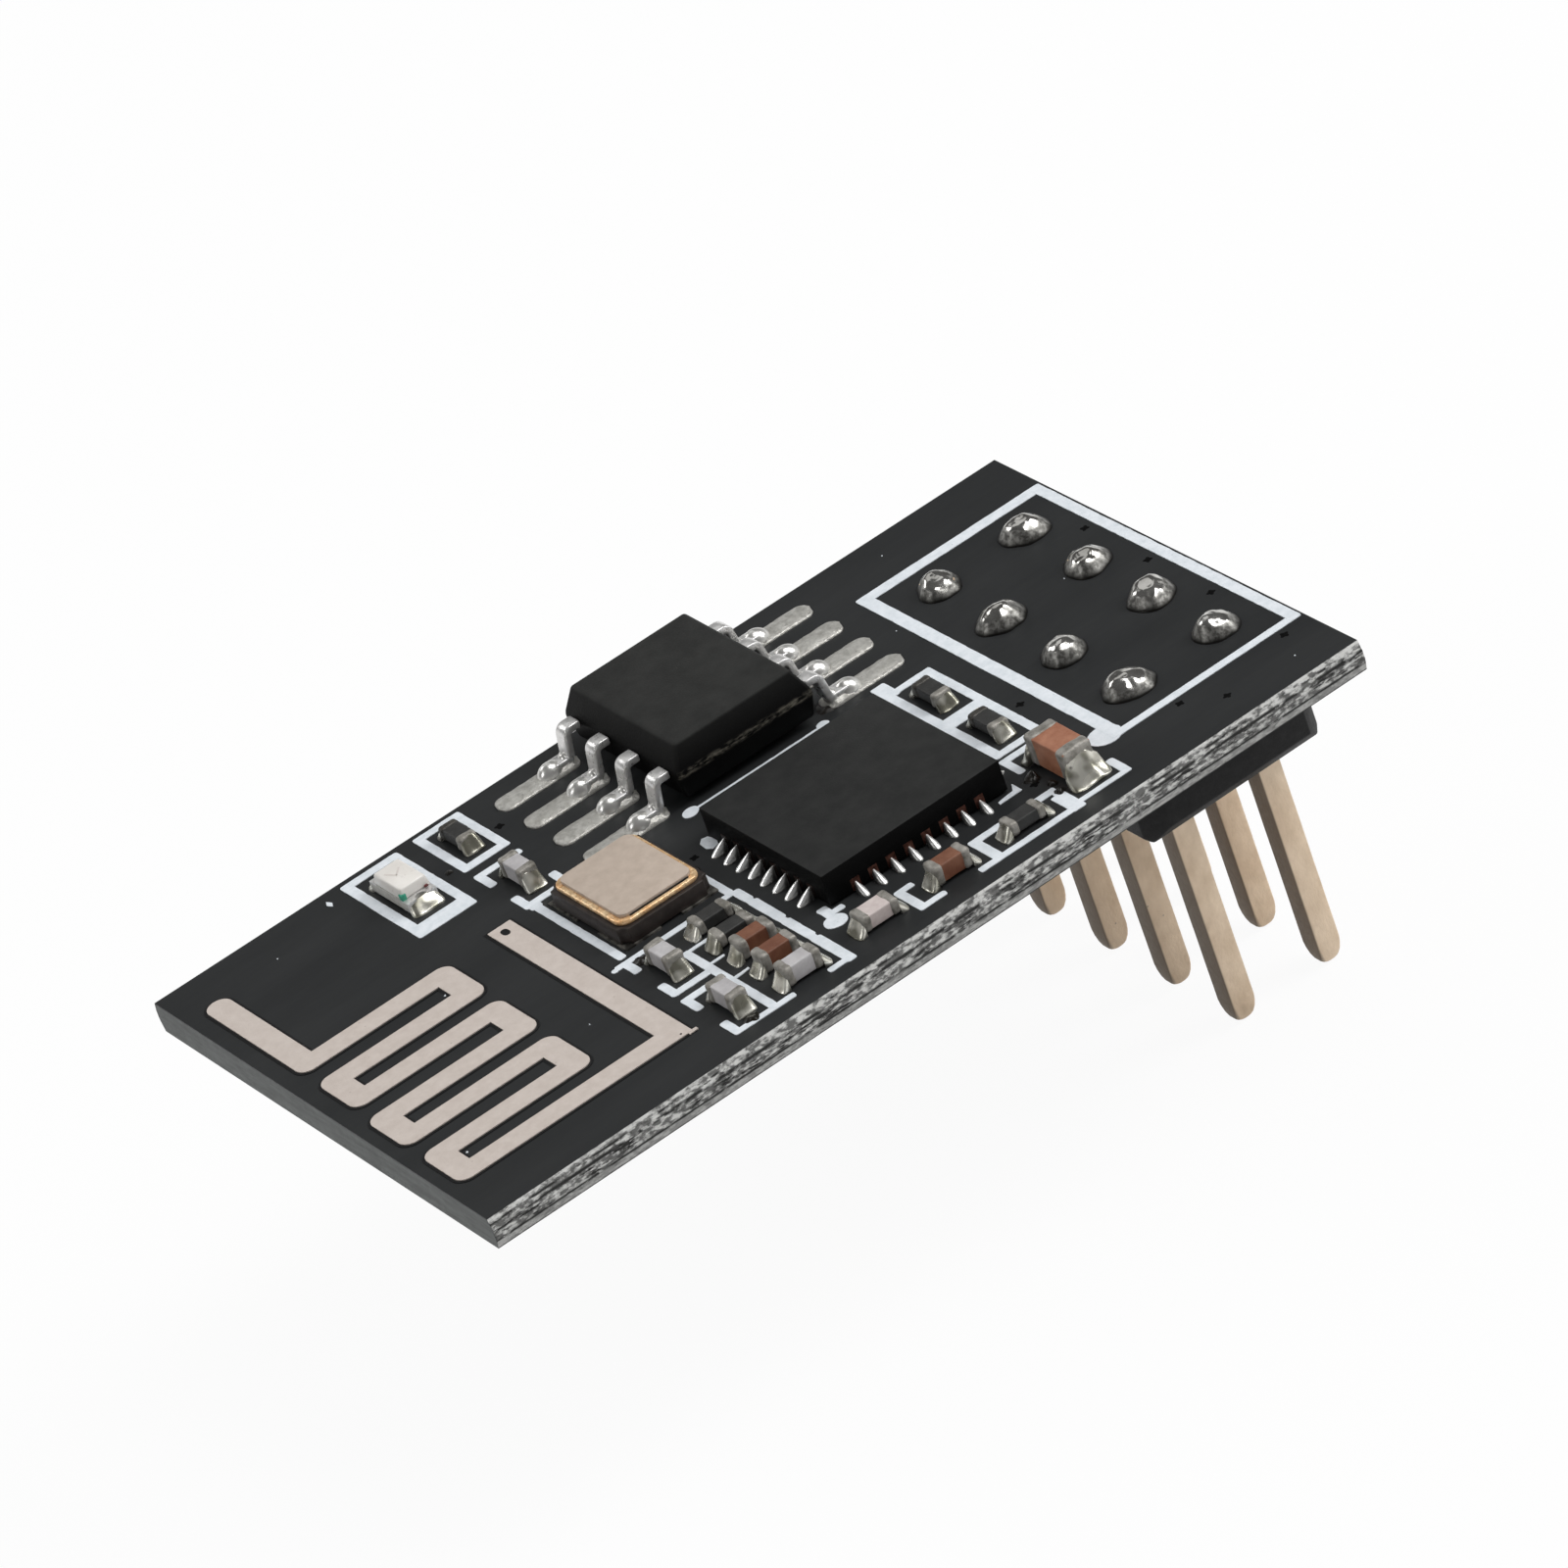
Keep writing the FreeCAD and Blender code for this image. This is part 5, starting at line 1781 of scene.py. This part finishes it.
@dataclass
class Light:
    """The indicator light: carrier, clear block, plated ends and its solder."""

    pad_width: float = 0.92
    solder_rise: float = 0.24
    solder_reach: float = 0.28
    lumps: float = 0.06
    mark_thickness: float = 0.002
    spot_round: float = 0.02
    vee_strokes: tuple[tuple[Spot, ...], ...] = (
        ((-0.20, 0.17), (-0.02, -0.16), (0.01, -0.11), (-0.15, 0.18)),
        ((0.22, 0.10), (0.18, 0.13), (-0.02, -0.10), (-0.01, -0.16)))

    def build(self) -> None:
        """Builds and dresses the light."""
        round_node("light_carrier", "light_base", CARRIER, 0.012)
        round_node("light_block", "light_lens", LENS, 0.05, 3)
        dress_node("light_terminals", LEAD)
        self.solder()
        self.marks()

    def solder(self) -> None:
        """Builds the solder on both ends."""
        low, high = node_box("light_terminals")
        shape = Shape()
        for side, y in ((-1, low.y), (1, high.y)):
            start = Vector(((low.x + high.x) / 2, y, 0.0))
            fillet(shape, start, Vector((0.0, side, 0.0)), self.pad_width, self.solder_rise,
                   self.solder_reach, 3.0 * side, self.lumps)
        finish_piece("light_solder", shape, SOLDER, ["light_joints"], smooth_angle=LUMPY)

    def marks(self) -> None:
        """Builds the faint V on the lens, its green corner and the dark red spot."""
        low, high = node_box("light_lens")
        x, y = (low.x + high.x) / 2 - 0.05, (low.y + high.y) / 2 + 0.12
        vee = Shape()
        for stroke in self.vee_strokes:
            vee.slab([(x + dx, y + dy) for dx, dy in stroke], high.z - self.mark_thickness,
                     high.z + self.mark_thickness)
        finish_piece("light_vee", vee, LENS_MARK)
        green = Shape()
        green.block((low.x - 0.006, low.y - 0.008, low.z - 0.01), (low.x + 0.13, low.y + 0.14, low.z + 0.15),
                    self.spot_round)
        finish_piece("light_green_patch", green, LENS_GREEN)
        red = Shape()
        red.block((high.x - 0.20, low.y - 0.07, low.z + 0.02), (high.x - 0.10, low.y - 0.005, low.z + 0.08),
                  self.spot_round)
        finish_piece("light_red_spot", red, DARK_RED)


@dataclass
class FluxAndShade:
    """Dark glossy heaps at the feet of parts, partly hardened flux and partly painted shade, and a few loose
    specks.
    """

    heaps: tuple[Sides, ...] = (
        (-4.72, -4.75, 0.20, 0.16), (-4.60, -5.35, 0.12, 0.13), (-4.68, -5.75, 0.14, 0.10),
        (-13.8, -6.45, 0.20, 0.07), (-11.32, 0.75, 0.12, 0.14), (-11.30, -0.50, 0.12, 0.12),
        (-13.95, -2.25, 0.22, 0.08), (-5.62, 2.20, 0.30, 0.08), (-5.10, 2.62, 0.20, 0.10),
        (-3.28, -4.55, 0.12, 0.12), (-14.62, 5.02, 0.10, 0.08), (-15.12, -5.50, 0.13, 0.03))
    specks: tuple[Point, ...] = (
        (-17.40, 0.90, 0.035), (-20.45, -4.70, 0.03), (-18.9, 5.9, 0.02), (-1.2, 6.3, 0.02),
        (0.6, 1.3, 0.022), (-16.1, -3.2, 0.02), (-2.9, 3.3, 0.02), (1.6, -6.4, 0.025))
    speck_height: float = 0.02

    def build(self) -> None:
        """Builds the dark heaps and the specks."""
        dark_heaps = Shape()
        for index, (x, y, reach, height) in enumerate(self.heaps):
            seed = 3.7 * index

            def heap(share: float, angle: float) -> Point:
                """A point of one dark heap.

                Args:
                    share: 0 at the middle and 1 at the rim.
                    angle: the way from the middle.

                Returns:
                    The offset from the middle, and the height.
                """
                ragged = reach * (1 + 0.45 * wobble(math.cos(angle), math.sin(angle), seed, 1.3))
                u, v = polar(ragged * share, angle)
                z = height * (1 - share ** 2) * (1 + 0.8 * wobble(u, v, seed, 5.0))
                return u, v, BOARD_TOP + 0.004 + max(0.0, z)

            dark_heaps.mound((x, y), 7, 24, heap, BOARD_TOP - SUNK)
        finish_piece("flux_and_shade", dark_heaps, FLUX_AND_SHADE, smooth_angle=50.0)
        dust = Shape()
        for index, (x, y, reach) in enumerate(self.specks):

            def speck(share: float, angle: float) -> Point:
                """A point of one speck.

                Args:
                    share: 0 at the middle and 1 at the rim.
                    angle: the way from the middle.

                Returns:
                    The offset from the middle, and the height.
                """
                uneven = wobble(math.cos(angle), math.sin(angle), index * 2.3, 1.2)
                ragged = reach * share * (1 + 0.4 * uneven)
                return *polar(ragged, angle), BOARD_TOP + self.speck_height * (1 - share ** 2)

            dust.mound((x, y), 3, 12, speck, BOARD_TOP - SUNK)
        finish_piece("pale_specks", dust, INK)


# The studio


@dataclass
class Studio:
    """The floor, the white surroundings, the lamps and the photograph's camera; its lengths are in metres."""

    floor_size: float = 1.2
    floor_gap: float = 0.00002
    floor_colour: Colour = (0.86, 0.86, 0.86)
    floor_glow: float = 0.94
    plain_grey: Colour = (0.32, 0.32, 0.32)
    ceiling: Colour = (0.04, 0.04, 0.04)
    horizon: Spot = (0.05, 0.26)
    camera_place: Point = (-0.0848507, -0.1731185, 0.1184102)
    camera_angles: Point = (57.11484, 17.29915, -34.70425)
    lens: float = 226.8175
    image_side: float = 1600.0
    axis_point: Spot = (796.067, 801.459)
    target: Point = (-0.0095, 0.0, 0.003)
    lamps: tuple[tuple[str, Point, float, float], ...] = (
        ("right_softbox", (0.23, -0.10, 0.19), 0.13, 0.40),
        ("left_softbox", (-0.27, 0.03, 0.19), 0.09, 0.11),
        ("top_softbox", (0.108, -0.075, 0.313), 0.15, 0.38),
        ("back_softbox", (0.05, 0.21, 0.27), 0.18, 0.07),
        ("bead_softbox", (-0.11, 0.235, 0.18), 0.10, 0.12))

    def build(self) -> None:
        """Builds the whole studio."""
        self.floor()
        self.surroundings()
        self.camera()
        for name, place, side, power in self.lamps:
            self.lamp(name, place, side, power)

    def floor(self) -> None:
        """A plain pale floor that shows as white, keeps a soft shadow and is clear from below."""
        low = CAD_BOX[0][2] - self.floor_gap
        half = self.floor_size / 2
        mesh = bpy.data.meshes.new("floor")
        mesh.from_pydata([(-half, -half, low), (half, -half, low), (half, half, low), (-half, half, low)], [],
                         [(0, 1, 2, 3)])
        floor = bpy.data.objects.new("floor", mesh)
        bpy.context.scene.collection.objects.link(floor)
        paint = bpy.data.materials.new("floor_paint")
        paint.use_nodes = True
        nodes = Nodes(paint.node_tree)
        shader = paint.node_tree.nodes["Principled BSDF"]
        for name, value in (("Base Color", self.floor_colour), ("Roughness", 0.9),
                            ("Specular IOR Level", 0.0)):
            nodes.feed(shader.inputs[name], value)
        direct = nodes.rays("Is Camera Ray", "Is Glossy Ray", "Is Transmission Ray")
        seen = nodes.times(direct, self.floor_glow)
        glow = nodes.add("Emission", {"Strength": 1.0})
        above = nodes.add("MixShader", {0: seen, 1: shader.outputs[0], 2: glow.outputs[0]})
        below = nodes.add("NewGeometry").outputs["Backfacing"]
        clear = nodes.add("BsdfTransparent")
        whole = nodes.add("MixShader", {0: below, 1: above.outputs[0], 2: clear.outputs[0]})
        nodes.feed(paint.node_tree.nodes["Material Output"].inputs["Surface"], whole.outputs[0])
        mesh.materials.append(paint)

    def surroundings(self) -> None:
        """White to the camera, a white horizon and a darker ceiling in reflections, else plain grey."""
        world = bpy.data.worlds.new("studio")
        bpy.context.scene.world = world
        world.use_nodes = True
        nodes = Nodes(world.node_tree)
        plain = world.node_tree.nodes["Background"]
        nodes.feed(plain.inputs["Color"], self.plain_grey)
        height = nodes.add("SeparateXYZ", {0: nodes.add("TexCoord").outputs["Generated"]}).outputs["Z"]
        ramp = nodes.add("ValToRGB", {0: height})
        for stop, place, colour in zip(ramp.color_ramp.elements, self.horizon, (WHITE, self.ceiling)):
            stop.position = place
            stop.color = (*colour, 1.0)
        mirrored = nodes.add("Background", {"Color": ramp.outputs[0]})
        bounced = nodes.rays("Is Glossy Ray", "Is Transmission Ray")
        first = nodes.add("MixShader", {0: bounced, 1: plain.outputs[0], 2: mirrored.outputs[0]})
        seen = nodes.add("Background", {"Color": WHITE})
        direct = nodes.rays("Is Camera Ray")
        whole = nodes.add("MixShader", {0: direct, 1: first.outputs[0], 2: seen.outputs[0]})
        nodes.feed(world.node_tree.nodes["World Output"].inputs["Surface"], whole.outputs[0])

    def camera(self) -> None:
        """The photograph's camera."""
        data = bpy.data.cameras.new("camera")
        data.sensor_width = 36.0
        data.lens = self.lens
        data.clip_start = 0.01
        data.shift_x = 0.5 - self.axis_point[0] / self.image_side
        data.shift_y = self.axis_point[1] / self.image_side - 0.5
        camera = bpy.data.objects.new("camera", data)
        camera.location = self.camera_place
        camera.rotation_euler = Euler([math.radians(angle) for angle in self.camera_angles])
        bpy.context.scene.collection.objects.link(camera)
        bpy.context.scene.camera = camera

    def lamp(self, name: str, place: Point, side: float, power: float) -> None:
        """Adds a square soft lamp that faces the module.

        Args:
            name: its name.
            place: where it stands.
            side: its side.
            power: its power in watts.
        """
        data = bpy.data.lights.new(name, "AREA")
        data.shape = "SQUARE"
        data.size = side
        data.energy = power
        lamp = bpy.data.objects.new(name, data)
        lamp.location = place
        lamp.rotation_euler = (Vector(self.target) - Vector(place)).to_track_quat("-Z", "Y").to_euler()
        bpy.context.scene.collection.objects.link(lamp)


def main() -> None:
    """Builds the studio and every sub-assembly in order."""
    logging.basicConfig(level=logging.INFO, format="%(message)s")
    bpy.context.scene.view_settings.view_transform = "Standard"
    for maker in (Studio, Board, Legend, Header, RadioChip, MemoryChip, Crystal, Light, ChipParts, FluxAndShade):
        maker().build()


if __name__ == "__main__":
    main()
